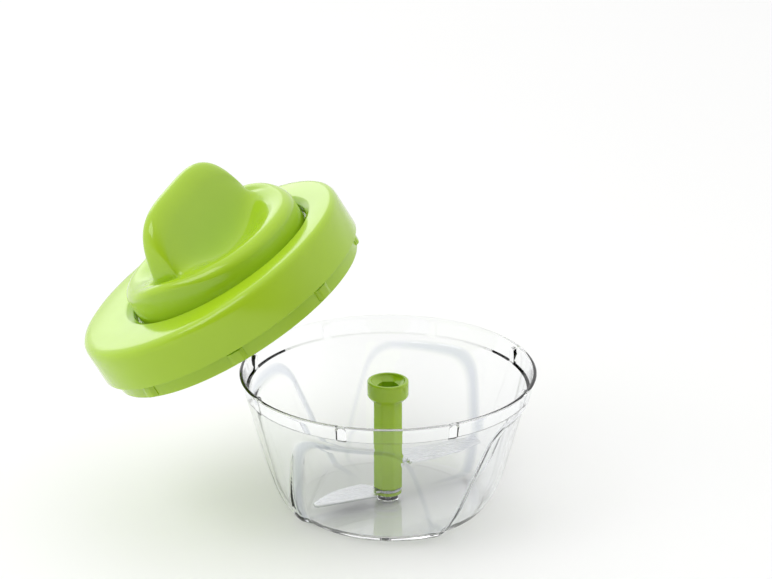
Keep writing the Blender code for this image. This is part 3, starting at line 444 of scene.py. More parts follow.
bowl = {
    "wall": 2.6 * mm, "flare": 0.265, "heelHeight": 25.0 * mm, "heelDrop": 6.0 * mm, "heelPower": 2.8,
    "floor": 3.5 * mm, "fillet": 2.0 * mm, "band": 8.6 * mm, "rimRound": 0.9 * mm,
    "ribWidth": 5.0 * mm, "ribTopDrop": 0.7 * mm, "panels": 4, "panelTop": 14.5 * mm,
    "panelDeep": 3.2 * mm, "panelShallow": 0.8 * mm, "panelLeft": -56.5, "panelRight": 26.0,
    "leftLean": 300.0, "rightLean": -340.0, "stepWide": 5.5 * mm, "stepNarrow": 2.6 * mm,
    "corner": 12.0 * mm, "bossRadius": 5.0 * mm, "bossRise": 2.5 * mm, "pinHole": 1.8 * mm,
    "holeFloor": 1.3 * mm, "stepsRound": 420, "stepSoft": 0.12,
}


def bowlRadius(z):
    heel = np.maximum(0.0, 1.0 - z / bowl["heelHeight"]) ** bowl["heelPower"]
    return shared["rimRadius"] - bowl["flare"] * (shared["bowlHeight"] - z) - bowl["heelDrop"] * heel


def panelStep(turn, z):
    # share of the step climbed, 0 outside a panel and 1 on its face, with the panel's depth there
    spacing = 360.0 / bowl["panels"]
    middle = (bowl["panelLeft"] + bowl["panelRight"]) / 2
    local = (turn - middle + spacing / 2) % spacing - spacing / 2 + middle
    perDegree = bowlRadius(z) * math.pi / 180.0
    fromLeft = (local - bowl["panelLeft"] - bowl["leftLean"] * z) * perDegree
    fromRight = (bowl["panelRight"] + bowl["rightLean"] * z - local) * perDegree
    fromTop = shared["bowlHeight"] - bowl["panelTop"] - z
    inside = softMin(softMin(fromLeft, fromTop, bowl["corner"]), fromRight, bowl["corner"])
    along = smoothStep((local - bowl["panelLeft"]) / (bowl["panelRight"] - bowl["panelLeft"]))
    width = bowl["stepWide"] + (bowl["stepNarrow"] - bowl["stepWide"]) * along
    depth = bowl["panelDeep"] + (bowl["panelShallow"] - bowl["panelDeep"]) * along
    slope = softMin(inside / width + 0.5, np.ones_like(inside), bowl["stepSoft"])
    return np.clip(-softMin(-slope, np.zeros_like(inside), bowl["stepSoft"]), 0.0, 1.0), depth


def panelInset(turn, z):
    climbed, depth = panelStep(turn, z)
    return depth * climbed


def ribHeadings():
    return [shared["ribFirst"] + 360.0 * k / shared["ribCount"] for k in range(shared["ribCount"])]


def bowlTurns():
    # even steps, with extra ones where each rib's flanks stand
    turns = list(np.linspace(0.0, 360.0, bowl["stepsRound"], endpoint=False))
    perDegree = shared["rimRadius"] * math.pi / 180.0
    half = bowl["ribWidth"] / 2 / perDegree
    for heading in ribHeadings():
        for shift in (-0.55, -0.25, 0.05, 0.35):
            edge = half + shift * mm / perDegree
            turns += [(heading - edge) % 360.0, (heading + edge) % 360.0]
    turns = sorted(turns)
    return np.array([t for k, t in enumerate(turns) if k == 0 or t - turns[k - 1] > 0.04])


def ribMask(turns, z):
    # 1 on a rib, 0 off it; the top end is round
    half = bowl["ribWidth"] / 2
    roundCentre = shared["bowlHeight"] - bowl["ribTopDrop"] - half
    mask = np.zeros(len(turns))
    for heading in ribHeadings():
        side = ((turns - heading + 180.0) % 360.0 - 180.0) * shared["rimRadius"] * math.pi / 180.0
        away = np.hypot(side, max(0.0, z - roundCentre)) - half
        mask = np.maximum(mask, 1.0 - smoothStep(away / (0.6 * mm) + 0.5))
    return mask


def bowlRing(turns, radius, z, share=1.0, rib=False):
    r = np.full(len(turns), radius) - (share * panelInset(turns, z) if share else 0.0)
    if rib:
        face = shared["rimRadius"] - shared["bandWall"] - shared["bandDraft"] - shared["ribDepth"]
        r = r + (face - r) * ribMask(turns, z)
    angle = np.radians(turns)
    return np.column_stack([r * np.sin(angle), -r * np.cos(angle), np.full(len(turns), z)])


def arcIn(radius, distance):
    # how far a fillet pulls the wall in, at a distance above where it starts
    return radius - math.sqrt(max(0.0, radius ** 2 - max(0.0, radius - distance) ** 2))


def buildBowl():
    turns = bowlTurns()
    rimRadius, height = shared["rimRadius"], shared["bowlHeight"]
    ledge = height - bowl["band"]
    rimInner = rimRadius - shared["bandWall"]
    fillet, floor, rimRound = bowl["fillet"], bowl["floor"], bowl["rimRound"]

    def ring(radius, z, share=1.0, rib=False):
        return bowlRing(turns, radius, z, share, rib)

    rings = [ring(float(bowlRadius(0.0)) * share, 0.0, 0.0) for share in (0.02, 0.25, 0.5)]
    for z in fillet * (1.0 - np.cos(np.linspace(0.0, np.pi / 2, 7))):
        rings.append(ring(float(bowlRadius(z)) - arcIn(fillet, z), z))
    for z in np.linspace(fillet + 0.8 * mm, ledge, 72):
        rings.append(ring(float(bowlRadius(z)), z))
    for z in np.linspace(ledge + 1.2 * mm, height - rimRound, 6):
        rings.append(ring(float(bowlRadius(z)), z, 0.0))
    for a in np.linspace(0.0, np.pi / 2, 6)[1:]:
        z = height - rimRound * (1 - math.sin(a))
        rings.append(ring(rimRadius - rimRound * (1 - math.cos(a)), z, 0.0))
    for a in np.linspace(np.pi / 2, np.pi, 6):
        z = height - rimRound * (1 - math.sin(a))
        rings.append(ring(rimInner + rimRound * (1 + math.cos(a)), z, 0.0))
    for z in np.linspace(height - rimRound - 0.4 * mm, ledge, 18):
        drafted = rimInner - shared["bandDraft"] * (height - z) / bowl["band"]
        rings.append(ring(drafted, z, 0.0, rib=True))
    for z in np.linspace(ledge - 0.4 * mm, floor + fillet, 64):
        rings.append(ring(float(bowlRadius(z)) - bowl["wall"], z, 1.0 if z < ledge - 1.0 * mm else 0.0))
    for a in np.linspace(0.0, np.pi / 2, 7)[1:]:
        z = floor + fillet * (1.0 - math.sin(a))
        rings.append(ring(float(bowlRadius(z)) - bowl["wall"] - fillet * (1 - math.cos(a)), z))
    floorRadius = float(bowlRadius(floor)) - bowl["wall"] - fillet
    boss, bossTop = bowl["bossRadius"], floor + bowl["bossRise"]
    rings += [ring(floorRadius / 2, floor, 0.0), ring(boss + 1.2 * mm, floor, 0.0)]
    for a in np.linspace(0.0, np.pi / 2, 5)[1:]:
        rings.append(ring(boss + 0.8 * mm * (1 - math.sin(a)), floor + 0.8 * mm * (1 - math.cos(a)), 0.0))
    for a in np.linspace(0.0, np.pi / 2, 5):
        rings.append(ring(boss - 0.5 * mm * (1 - math.cos(a)), bossTop - 0.5 * mm * (1 - math.sin(a)), 0.0))
    rings += [ring(bowl["pinHole"] + 0.2 * mm, bossTop, 0.0), ring(bowl["pinHole"], bossTop - 0.2 * mm, 0.0),
              ring(bowl["pinHole"], bowl["holeFloor"], 0.0)]
    piece = loftRings("bowlWall", rings, sharpAngle=50.0)
    shadeSteps(piece.data)
    return piece


# mask for the painted shade on the panel steps: full across the middle of each slope, fading at its ends and
# on shallow steps
def shadeSteps(mesh):
    co = np.array([v.co for v in mesh.vertices])
    radius, z = np.hypot(co[:, 0], co[:, 1]), co[:, 2]
    turn = np.degrees(np.arctan2(co[:, 0], -co[:, 1])) % 360.0
    climbed, depth = panelStep(turn, z)
    fade, fullDepth = 0.2, 2.0 * mm
    shade = smoothStep(climbed / fade) * smoothStep((1.0 - climbed) / fade) * np.minimum(1.0,
                                                                                         depth / fullDepth)
    onWall = (radius > 0.55 * bowlRadius(z)) & (z > bowl["floor"]) & (z < shared["bowlHeight"] - bowl["band"])
    mesh.attributes.new("stepShade", "FLOAT", "POINT").data.foreach_set("value", np.where(onWall, shade, 0.0))


# blade unit

shaft = {
    "flats": 14.3 * mm, "corner": 0.25 * mm, "bottom": 10.0 * mm, "cupDrop": 5.4 * mm, "cupHeight": 8.0 * mm,
    "taper": 3.8 * mm, "mouth": 8.7 * mm, "funnel": 3.0 * mm, "hexFlats": 10.0 * mm, "socketDepth": 9.7 * mm,
    "bore": 4.2 * mm, "boreTop": 18.3 * mm, "segments": 96,
}
blade = {"thickness": 1.2 * mm, "chord": 17.0 * mm, "tang": 8.0 * mm, "heading": 25.0, "edge": 0.16 * mm,
         "bevel": 3.2 * mm, "upperZ": 24.0 * mm, "upperReach": 53.0 * mm, "lowerZ": 9.1 * mm,
         "lowerReach": 43.0 * mm, "stations": 44, "eyeRadius": 7.0 * mm,
         "upperSweep": 0.45, "lowerSweep": 0.7}   # sweeps are shares of the chord


def polygonRadius(acrossFlats, sides, angle, corner):
    # distance to a polygon's edge, with its corners rounded
    half = acrossFlats / 2
    local = (angle + math.pi / sides) % (2 * math.pi / sides) - math.pi / sides
    reach = half / np.cos(local)
    limit = half / math.cos(math.pi / sides) - corner * 0.35
    return softMin(reach, np.full(len(angle), limit), corner)


def buildShaft():
    count = shaft["segments"]
    angle = np.linspace(0.0, 2 * np.pi, count, endpoint=False)
    top = shared["bowlHeight"] - shaft["cupDrop"]
    neck = top - shaft["cupHeight"] - shaft["taper"]
    octagon = polygonRadius(shaft["flats"], 8, angle, shaft["corner"])
    hexagon = polygonRadius(shaft["hexFlats"], 6, angle + math.pi / 6, 0.3 * mm)

    def ring(radius, z):
        r = radius if isinstance(radius, np.ndarray) else np.full(count, radius)
        return np.column_stack([r * np.cos(angle), r * np.sin(angle), np.full(count, z)])

    bottom, bore, cup = shaft["bottom"], shaft["bore"], shared["cupRadius"]
    rings = [ring(0.4 * mm, shaft["boreTop"]), ring(bore, shaft["boreTop"]), ring(bore, bottom + 0.4 * mm),
             ring(bore + 0.3 * mm, bottom), ring(octagon - 0.4 * mm, bottom),
             ring(octagon, bottom + 0.4 * mm)]
    rings += [ring(octagon, z) for z in np.linspace(bottom + 3 * mm, neck, 16)]
    for t in np.linspace(0.0, 1.0, 13)[1:]:
        widen = smoothStep(t)
        rings.append(ring(octagon + (cup - octagon) * widen, neck + t * (shaft["taper"] + 0.6 * mm)))
    rings += [ring(cup, z) for z in (top - 5 * mm, top - 2 * mm)]
    for a in np.linspace(0.0, np.pi / 2, 5):
        rings.append(ring(cup - 0.8 * mm * (1 - math.cos(a)), top - 0.8 * mm * (1 - math.sin(a))))
    mouth = shaft["mouth"]
    for a in np.linspace(0.0, np.pi / 2, 4):
        rings.append(ring(mouth + 0.4 * mm * (1 - math.sin(a)), top - 0.4 * mm * (1 - math.cos(a))))
    for t in np.linspace(0.0, 1.0, 9)[1:]:
        r = (mouth * (1 - t ** 1.6) + hexagon * t ** 1.6)
        rings.append(ring(r, top - 0.4 * mm - t * (shaft["funnel"] - 0.4 * mm)))
    socketFloor = top - shaft["socketDepth"]
    rings += [ring(hexagon, socketFloor + 0.4 * mm), ring(hexagon - 0.4 * mm, socketFloor),
              ring(0.4 * mm, socketFloor)]
    return loftRings("bladeShaft", rings, sharpAngle=32.0)


def bladeSections(start, reach, sweep, middleZ):
    # each section runs round the blade: back edge, upper bevel line, cutting edge, lower bevel line
    root = shaft["flats"] / 2 + 1.2 * mm
    half, tang, thick = blade["chord"] / 2, blade["tang"] / 2, blade["thickness"] / 2
    inner = np.linspace(start, root, 5)
    outer = root + (reach - root) * (1 - np.cos(np.linspace(0.06, np.pi / 2, blade["stations"])))
    sections = []
    for x in list(inner) + list(outer):
        t = max(0.0, (x - root - 2 * mm) / (reach - root - 2 * mm))
        spread = float(smoothStep((x - root) / (2 * mm)))
        front = -(tang + (half - tang) * spread) + (sweep * t ** 2.4 if spread >= 1.0 else 0.0)
        tip = max(0.0, x - (reach - 1.5 * mm)) / (1.5 * mm)
        back = tang + (half - tang) * spread - (1.0 * mm) * t - 0.8 * mm * tip ** 2
        back = max(back, front + 0.5 * mm)
        bevel = min(blade["bevel"] * spread + 0.05 * mm, 0.45 * (back - front))
        edge = thick + (blade["edge"] / 2 - thick) * spread
        sections.append(np.array([(x, back - 0.2 * mm, middleZ + thick), (x, front + bevel, middleZ + thick),
                                  (x, front, middleZ + edge), (x, front, middleZ - edge),
                                  (x, front + bevel, middleZ - thick), (x, back - 0.2 * mm, middleZ - thick),
                                  (x, back, middleZ - thick + 0.2 * mm), (x, back,
                                                                          middleZ + thick - 0.2 * mm)]))
    return sections


def buildBlade(name, start, reach, sweep, middleZ, heading):
    turn = Matrix.Rotation(math.radians(heading), 4, "Z")
    return loftRings(name, bladeSections(start, reach, sweep, middleZ), matrix=turn, sharpAngle=12.0)


def joinBoolean(target, tool, operation):
    modifier = target.modifiers.new("join", "BOOLEAN")
    modifier.operation, modifier.solver, modifier.object = operation, "EXACT", tool
    solid = target.evaluated_get(bpy.context.evaluated_depsgraph_get())
    mesh = bpy.data.meshes.new_from_object(solid)
    target.modifiers.clear()
    target.data = mesh
    bpy.data.objects.remove(tool, do_unlink=True)
    mesh.shade_smooth()
    mesh.set_sharp_from_angle(angle=math.radians(12.0))


def buildLowerBlade():
    low, high = blade["lowerZ"] - blade["thickness"] / 2, blade["lowerZ"] + blade["thickness"] / 2
    piece = buildBlade("bladeLower", 0.0, blade["lowerReach"], blade["chord"] * blade["lowerSweep"],
                       blade["lowerZ"],
                       blade["heading"] + 180.0)
    eye = loftRings("bladeEye", [turnedRing(blade["eyeRadius"], z, 64) for z in (low, high)])
    joinBoolean(piece, eye, "UNION")
    hole = loftRings("bladeHole", [turnedRing(shaft["bore"], z, 64) for z in (low - mm, high + mm)])
    joinBoolean(piece, hole, "DIFFERENCE")
    return piece


# lid

lid = {
    "inset": 1.2 * mm, "edge": 3.2 * mm, "chamfer": 3.5 * mm, "drop": 2.4 * mm, "recessExtra": 1.5 * mm,
    "hole": 39.5 * mm, "ringDepth": 8.0 * mm, "ringWall": 1.5 * mm, "ringClearance": 1.0 * mm,
    "cageInner": 13.3 * mm, "cageWall": 1.5 * mm, "cageLip": 10.9 * mm, "cageBottom": -15.2 * mm,
    "cageLipTop": -14.0 * mm, "hubHole": 8.3 * mm, "hubRise": 2.5 * mm, "segments": 256,
    "screwAngles": (45.0, 135.0, 225.0, 315.0),
}
ramps = {"width": 9.0 * mm, "depth": 1.5 * mm, "low": -7.2 * mm, "high": -1.2 * mm, "lead": 2.5 * mm}
screws = {"head": 2.6 * mm, "headHeight": 1.2 * mm, "shank": 1.3 * mm, "length": 9.0 * mm, "slot": 0.7 * mm}
spring = {"radius": 12.0 * mm, "wire": 0.35 * mm, "turns": 3.0, "low": -12.05 * mm, "high": -0.65 * mm,
          "squashed": 0.19}   # share of its length left when the lid is seated


def lidRadius():
    return shared["rimRadius"] - lid["inset"]


def ringRadius():
    return (shared["rimRadius"] - shared["bandWall"] - shared["bandDraft"] - shared["ribDepth"]
            - lid["ringClearance"])


def turnProfile(name, corners, sharpAngle=38.0):
    rings = [turnedRing(r, z, lid["segments"], cx) for r, z, cx in filleted(corners)]
    return loftRings(name, rings, lidMatrix(), loop=True, sharpAngle=sharpAngle)


def buildLidCover():
    outer, wall, top = lidRadius(), shared["lidWall"], shared["lidHeight"]
    shift, recess = shared["knobOffset"], shared["knobRadius"] + lid["recessExtra"]
    crease, floor = recess + lid["chamfer"], top - shared["recessDepth"]
    under = top - wall
    corners = [
        (outer - wall, 0.0, 0.0, 0.2 * mm), (outer, 0.0, 0.0, 0.4 * mm), (outer, top, 0.0, lid["edge"] * 1.5),
        (crease, top, shift, 0.7 * mm), (recess, top - lid["drop"], shift, 0.8 * mm),
        (recess, floor, shift, 1.0 * mm), (lid["hole"], floor, shift, 0.3 * mm),
        (lid["hole"], floor - wall, shift, 0.3 * mm), (recess + wall, floor - wall, shift, 0.5 * mm),
        (recess + wall, under - lid["drop"], shift, 0.5 * mm), (crease + mm, under, shift, 0.5 * mm),
        (outer - wall, under, 0.0, lid["edge"]),
    ]
    return turnProfile("lidCover", corners, 45.0)


def buildUnderplate():
    plate, ring = lidRadius() - shared["lidWall"] - 0.4 * mm, ringRadius()
    thick, gap, hub = shared["plate"], shared["gap"], lid["hubHole"]
    cageOuter = lid["cageInner"] + lid["cageWall"]
    corners = [
        (hub, thick + lid["hubRise"], 0.0, 0.3 * mm), (hub, 0.0, 0.0, 0.3 * mm),
        (lid["cageInner"], 0.0, 0.0, 0.4 * mm), (lid["cageInner"], lid["cageLipTop"], 0.0, 0.2 * mm),
        (lid["cageLip"], lid["cageLipTop"], 0.0, 0.2 * mm),
        (lid["cageLip"], lid["cageBottom"], 0.0, 0.3 * mm),
        (cageOuter, lid["cageBottom"], 0.0, 0.5 * mm), (cageOuter, 0.0, 0.0, 0.8 * mm),
        (ring - lid["ringWall"], 0.0, 0.0, 0.8 * mm),
        (ring - lid["ringWall"], -lid["ringDepth"], 0.0, 0.4 * mm),
        (ring, -lid["ringDepth"], 0.0, 0.5 * mm), (ring, gap, 0.0, 0.2 * mm), (plate, gap, 0.0, 0.3 * mm),
        (plate, thick, 0.0, 0.3 * mm), (hub + 2 * mm, thick, 0.0, 0.6 * mm),
        (hub + 2 * mm, thick + lid["hubRise"], 0.0, 0.3 * mm),
    ]
    return turnProfile("lidUnderplate", corners, 40.0)


def aroundAxisTree():
    # turns copies of the incoming block round the upright axis
    tree, source, sink = newTree("blocksRoundRing", [
        ("Count", "NodeSocketInt", 8), ("First Angle", "NodeSocketFloat", 0.0),
        ("Step Angle", "NodeSocketFloat", 0.785), ("Material", "NodeSocketMaterial", None)])
    spots = tree.nodes.new("GeometryNodePoints")
    tree.links.new(source.outputs["Count"], spots.inputs["Count"])
    index = tree.nodes.new("GeometryNodeInputIndex").outputs["Index"]
    turn = mathNode(tree, "ADD", source.outputs["First Angle"],
                    mathNode(tree, "MULTIPLY", index, source.outputs["Step Angle"]))
    heading = tree.nodes.new("ShaderNodeCombineXYZ")
    tree.links.new(turn, heading.inputs["Z"])
    copies = tree.nodes.new("GeometryNodeInstanceOnPoints")
    tree.links.new(spots.outputs[0], copies.inputs["Points"])
    tree.links.new(source.outputs["Geometry"], copies.inputs["Instance"])
    tree.links.new(heading.outputs[0], copies.inputs["Rotation"])
    endTree(tree, source, sink, copies.outputs["Instances"])
    return tree


def buildRamps():
    ring, half, lead = ringRadius(), ramps["width"] / 2, ramps["lead"]
    outline = [(ring - mm, -half), (ring + 0.2 * mm, -half)]
    for t in np.linspace(0.0, 1.0, 6):
        rise = (ramps["depth"] - 0.2 * mm) * float(smoothStep(t))
        outline.append((ring + 0.2 * mm + rise, -half + lead * t))
    outline += [(r, -s) for r, s in reversed(outline[2:])]
    outline += [(ring + 0.2 * mm, half), (ring - mm, half)]
    chamfer = 0.3 * mm
    rings = []
    for z, inset in ((ramps["low"], chamfer), (ramps["low"] + chamfer, 0.0),
                     (ramps["high"] - chamfer, 0.0), (ramps["high"], chamfer)):
        rings.append(np.array([(max(ring - mm, r - inset), s * (1 - inset / half), z) for r, s in outline]))
    block = loftRings("rampBlock", rings)
    mesh = block.data
    bpy.data.objects.remove(block, do_unlink=True)
    step = 2 * math.pi / shared["ribCount"]
    first = math.radians(shared["ribFirst"] - 90.0) + step / 2   # each halfway between two ribs
    return growPiece("lidRingRamps", aroundAxisTree(), {
        "Count": shared["ribCount"], "First Angle": first, "Step Angle": step, "Material": green},
        base=mesh, matrix=lidMatrix())


def screwTree():
    # a pan head with a cross recess, and a plain shank, put on every incoming point
    tree, source, sink = newTree("crossHeadScrews", [
        ("Head Radius", "NodeSocketFloat", 0.0026), ("Head Height", "NodeSocketFloat", 0.0012),
        ("Shank Radius", "NodeSocketFloat", 0.0013), ("Length", "NodeSocketFloat", 0.009),
        ("Slot Width", "NodeSocketFloat", 0.0007), ("Material", "NodeSocketMaterial", None)])
    give = source.outputs
    head = tree.nodes.new("GeometryNodeMeshCone")
    head.inputs["Vertices"].default_value = 40
    tree.links.new(give["Head Radius"], head.inputs["Radius Top"])
    tree.links.new(mathNode(tree, "MULTIPLY", give["Head Radius"], 0.78), head.inputs["Radius Bottom"])
    tree.links.new(give["Head Height"], head.inputs["Depth"])
    shank = tree.nodes.new("GeometryNodeMeshCylinder")
    shank.inputs["Vertices"].default_value = 24
    tree.links.new(give["Shank Radius"], shank.inputs["Radius"])
    tree.links.new(give["Length"], shank.inputs["Depth"])
    lift = tree.nodes.new("ShaderNodeCombineXYZ")
    tree.links.new(mathNode(tree, "ADD", mathNode(tree, "MULTIPLY", give["Length"], 0.5),
                            mathNode(tree, "MULTIPLY", give["Head Height"], 0.75)), lift.inputs["Z"])
    raised = tree.nodes.new("GeometryNodeTransform")
    tree.links.new(shank.outputs["Mesh"], raised.inputs["Geometry"])
    tree.links.new(lift.outputs[0], raised.inputs["Translation"])
    body = tree.nodes.new("GeometryNodeMeshBoolean")
    body.operation = "UNION"
    tree.links.new(head.outputs["Mesh"], body.inputs["Mesh 2"])
    tree.links.new(raised.outputs["Geometry"], body.inputs["Mesh 2"])
    cut = tree.nodes.new("GeometryNodeMeshBoolean")
    cut.operation = "DIFFERENCE"
    tree.links.new(body.outputs["Mesh"], cut.inputs["Mesh 1"])
    for long, wide in (("X", "Y"), ("Y", "X")):
        size = tree.nodes.new("ShaderNodeCombineXYZ")
        tree.links.new(mathNode(tree, "MULTIPLY", give["Head Radius"], 1.15), size.inputs[long])
        tree.links.new(give["Slot Width"], size.inputs[wide])
        tree.links.new(give["Head Height"], size.inputs["Z"])
        bar = tree.nodes.new("GeometryNodeMeshCube")
        tree.links.new(size.outputs[0], bar.inputs["Size"])
        tree.links.new(bar.outputs["Mesh"], cut.inputs["Mesh 2"])
    copies = tree.nodes.new("GeometryNodeInstanceOnPoints")
    tree.links.new(give["Geometry"], copies.inputs["Points"])
    tree.links.new(cut.outputs["Mesh"], copies.inputs["Instance"])
    endTree(tree, source, sink, copies.outputs["Instances"])
    return tree


def screwSpots():
    # halfway between the recess crease and the band
    crease = shared["knobRadius"] + lid["recessExtra"] + lid["chamfer"]
    outer = min(lidRadius() - shared["lidWall"], ringRadius() - lid["ringWall"])
    spots = []
    for degrees in lid["screwAngles"]:
        angle = math.radians(degrees)
        side = shared["knobOffset"] * math.sin(angle)
        inner = shared["knobOffset"] * math.cos(angle) + math.sqrt(crease ** 2 - side ** 2)
        middle = (inner + outer) / 2
        spots.append((middle * math.cos(angle), middle * math.sin(angle),
                      -shared["gap"] - screws["headHeight"]))
    return spots


def buildScrews():
    spots = bpy.data.meshes.new("screwSpots")
    spots.from_pydata(screwSpots(), [], [])
    return growPiece("lidScrews", screwTree(), {
        "Head Radius": screws["head"], "Head Height": screws["headHeight"], "Shank Radius": screws["shank"],
        "Length": screws["length"], "Slot Width": screws["slot"], "Material": steel},
        base=spots, matrix=lidMatrix())


def springTree():
    tree, source, sink = newTree("roundWireCoil", [
        ("Turns", "NodeSocketFloat", 3.0), ("Radius", "NodeSocketFloat", 0.012),
        ("Height", "NodeSocketFloat", 0.011), ("Wire Radius", "NodeSocketFloat", 0.00035),
        ("Material", "NodeSocketMaterial", None)])
    path = tree.nodes.new("GeometryNodeCurveSpiral")
    path.inputs["Resolution"].default_value = 48
    for label, given in (("Rotations", "Turns"), ("Start Radius", "Radius"), ("End Radius", "Radius"),
                         ("Height", "Height")):
        tree.links.new(source.outputs[given], path.inputs[label])
    section = tree.nodes.new("GeometryNodeCurvePrimitiveCircle")
    section.inputs["Resolution"].default_value = 12
    tree.links.new(source.outputs["Wire Radius"], section.inputs["Radius"])
    wire = tree.nodes.new("GeometryNodeCurveToMesh")
    wire.inputs["Fill Caps"].default_value = True
    tree.links.new(path.outputs["Curve"], wire.inputs["Curve"])
    tree.links.new(section.outputs["Curve"], wire.inputs["Profile Curve"])
    endTree(tree, source, sink, wire.outputs["Mesh"])
    return tree


def buildSpring():
    place = lidMatrix() @ Matrix.Translation((0.0, 0.0, spring["low"]))
    return growPiece("holdSpring", springTree(), {
        "Turns": spring["turns"], "Radius": spring["radius"], "Height": spring["high"] - spring["low"],
        "Wire Radius": spring["wire"], "Material": steel}, matrix=place)


# knob

knob = {
    "rise": 11.0 * mm, "round": 6.0 * mm, "wall": 1.7 * mm, "wellDepth": 9.5 * mm, "wellRadius": 41.0 * mm,
    "wingHeading": 60.0, "wingHalfLength": 38.8 * mm, "wingRise": 34.15 * mm, "wingHalfWidth": 7.4 * mm,
    "wingRound": 14.0 * mm, "wingSteepness": 11.0, "endFlare": 0.7, "endRaise": 6.15 * mm,
    "crestPower": 3.6, "crestEnd": 0.34, "crestRound": 2.2, "skirt": 0.8 * mm, "columns": 120,
}


def knobHeight(u, v):
    # u runs along the wing and v across it
    radius = np.hypot(u, v)
    top, limit = shared["lidHeight"] + knob["rise"], shared["knobRadius"]
    edge = np.maximum(0.0, radius - (limit - knob["round"]))
    rim = top - knob["round"] + np.sqrt(np.maximum(0.0, knob["round"] ** 2 - edge ** 2))
    disc = rim - knob["wellDepth"] * (1.0 - smoothStep((radius / knob["wellRadius"] - 0.35) / 0.65))
    disc = disc + knob["endRaise"] * (u / limit) ** 4 * np.maximum(0.0, 1.0 - (v / limit) ** 2)
    along = np.minimum(1.0, np.abs(u) / knob["wingHalfLength"])
    crest = top + knob["wingRise"] * (1.0 - along ** knob["crestPower"]) ** knob["crestEnd"]
    height = np.maximum(crest - disc, 1e-9)
    # the sides lean out more towards the ends, where the wing spreads into the disc
    steepness = knob["wingSteepness"] * (1.0 - knob["endFlare"] * np.minimum(1.0, (u / limit) ** 2))
    across = np.minimum(1.0, np.abs(v) / knob["wingHalfWidth"])
    fall = knob["wingRound"] * (1.0 - np.sqrt(1.0 - across ** knob["crestRound"]))
    reach = (fall + steepness * np.maximum(0.0, np.abs(v) - knob["wingHalfWidth"])) / height
    return disc + np.where(crest > disc, height * (1.0 - reach / np.sqrt(1.0 + reach ** 2)), 0.0)


def knobUnder(u, v):
    lowest = knobHeight(u, v) - knob["wall"]
    for turn in np.radians(np.arange(0, 360, 30)):
        du, dv = knob["wall"] * math.cos(turn), knob["wall"] * math.sin(turn)
        near = np.hypot(u + du, v + dv) < shared["knobRadius"]
        lowest = np.where(near, np.minimum(lowest, knobHeight(u + du, v + dv)), lowest)
    return lowest


def rowPlaces(limit):
    # close rows on the wing's steep sides and at the rim
    half = knob["wingHalfWidth"]
    side = list(np.linspace(0.0, 0.8, 9)[1:] * half) + list(half * np.linspace(0.84, 1.0, 6))
    side += list(half + np.linspace(0.0, 3.0 * mm, 16)[1:]) + list(half + np.linspace(3.5, 9.0, 12) * mm)
    rest = [side[-1] + (limit - side[-1]) * math.sin(math.pi / 2 * t)
            for t in np.linspace(0.0, 0.985, 26)[1:]]
    half = side + rest
    return [-v for v in reversed(half)] + [0.0] + half


def columnShares():
    # positions along a row, close together at the wing's ends and at the rim
    even = np.sin(np.linspace(-np.pi / 2, np.pi / 2, knob["columns"] + 1))
    wingEnd = knob["wingHalfLength"] / shared["knobRadius"]
    extra = [s * (wingEnd + d) for s in (-1, 1) for d in np.linspace(-0.03, 0.01, 9)]
    return np.array(sorted(set(np.round(list(even) + extra, 6))))


def knobSheet(limit, surface):
    shares = columnShares()
    rows = []
    for v in rowPlaces(limit):
        u = math.sqrt(max(0.0, limit ** 2 - v ** 2)) * shares
        rows.append(np.column_stack([u, np.full(len(u), v), surface(u, np.full(len(u), v))]))
    return rows


def closeSheet(points, faces, rows, skirtZ, limit, flip):
    # the sheet, and the skirt that drops from its rim; gives back the skirt's lower ring
    start = sum(len(p) for p in points)
    wide, deep = len(rows[0]), len(rows)
    points.append(np.vstack(rows))

    def at(i, j):
        return start + i * wide + j

    for i in range(deep - 1):
        for j in range(wide - 1):
            quad = (at(i, j), at(i, j + 1), at(i + 1, j + 1), at(i + 1, j))
            faces.append(quad[::-1] if flip else quad)
    rim = [at(0, j) for j in range(wide)] + [at(i, wide - 1) for i in range(1, deep - 1)]
    rim += [at(deep - 1, j) for j in reversed(range(wide))] + [at(i, 0) for i in reversed(range(1, deep - 1))]
    flat = np.vstack(points)
    out = flat[rim][:, :2]
    out = out / np.linalg.norm(out, axis=1)[:, None] * limit
    lowStart = len(flat)
    points.append(np.column_stack([out, np.full(len(rim), skirtZ)]))
    for k in range(len(rim)):
        n = (k + 1) % len(rim)
        quad = (rim[n], rim[k], lowStart + k, lowStart + n)
        faces.append(quad[::-1] if flip else quad)
    return list(range(lowStart, lowStart + len(rim)))


def buildKnob():
    skirtZ = shared["lidHeight"] - shared["recessDepth"] + knob["skirt"]
    radius = shared["knobRadius"]
    inner = radius - knob["wall"]
    points, faces = [], []
    outerLow = closeSheet(points, faces, knobSheet(radius - 0.05 * mm, knobHeight), skirtZ, radius, False)
    innerLow = closeSheet(points, faces, knobSheet(inner, knobUnder), skirtZ, inner, True)
    for k in range(len(outerLow)):
        n = (k + 1) % len(outerLow)
        faces.append((outerLow[n], outerLow[k], innerLow[k], innerLow[n]))
    place = lidMatrix() @ Matrix.Translation((shared["knobOffset"], 0.0, 0.0))
    place = place @ Matrix.Rotation(math.radians(knob["wingHeading"]), 4, "Z")
    piece = finishMesh("knobShell", np.vstack(points), faces, place, 60.0)
    faceOutwards(piece.data)
    return piece


# putting it together

def dress(piece, material, body, slotName, *nodes):
    if not piece.data.materials:
        piece.data.materials.append(material)
    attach(piece, body)
    if nodes:
        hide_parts(*nodes)
    print("made", piece.name, len(piece.data.polygons), "faces")
    return piece


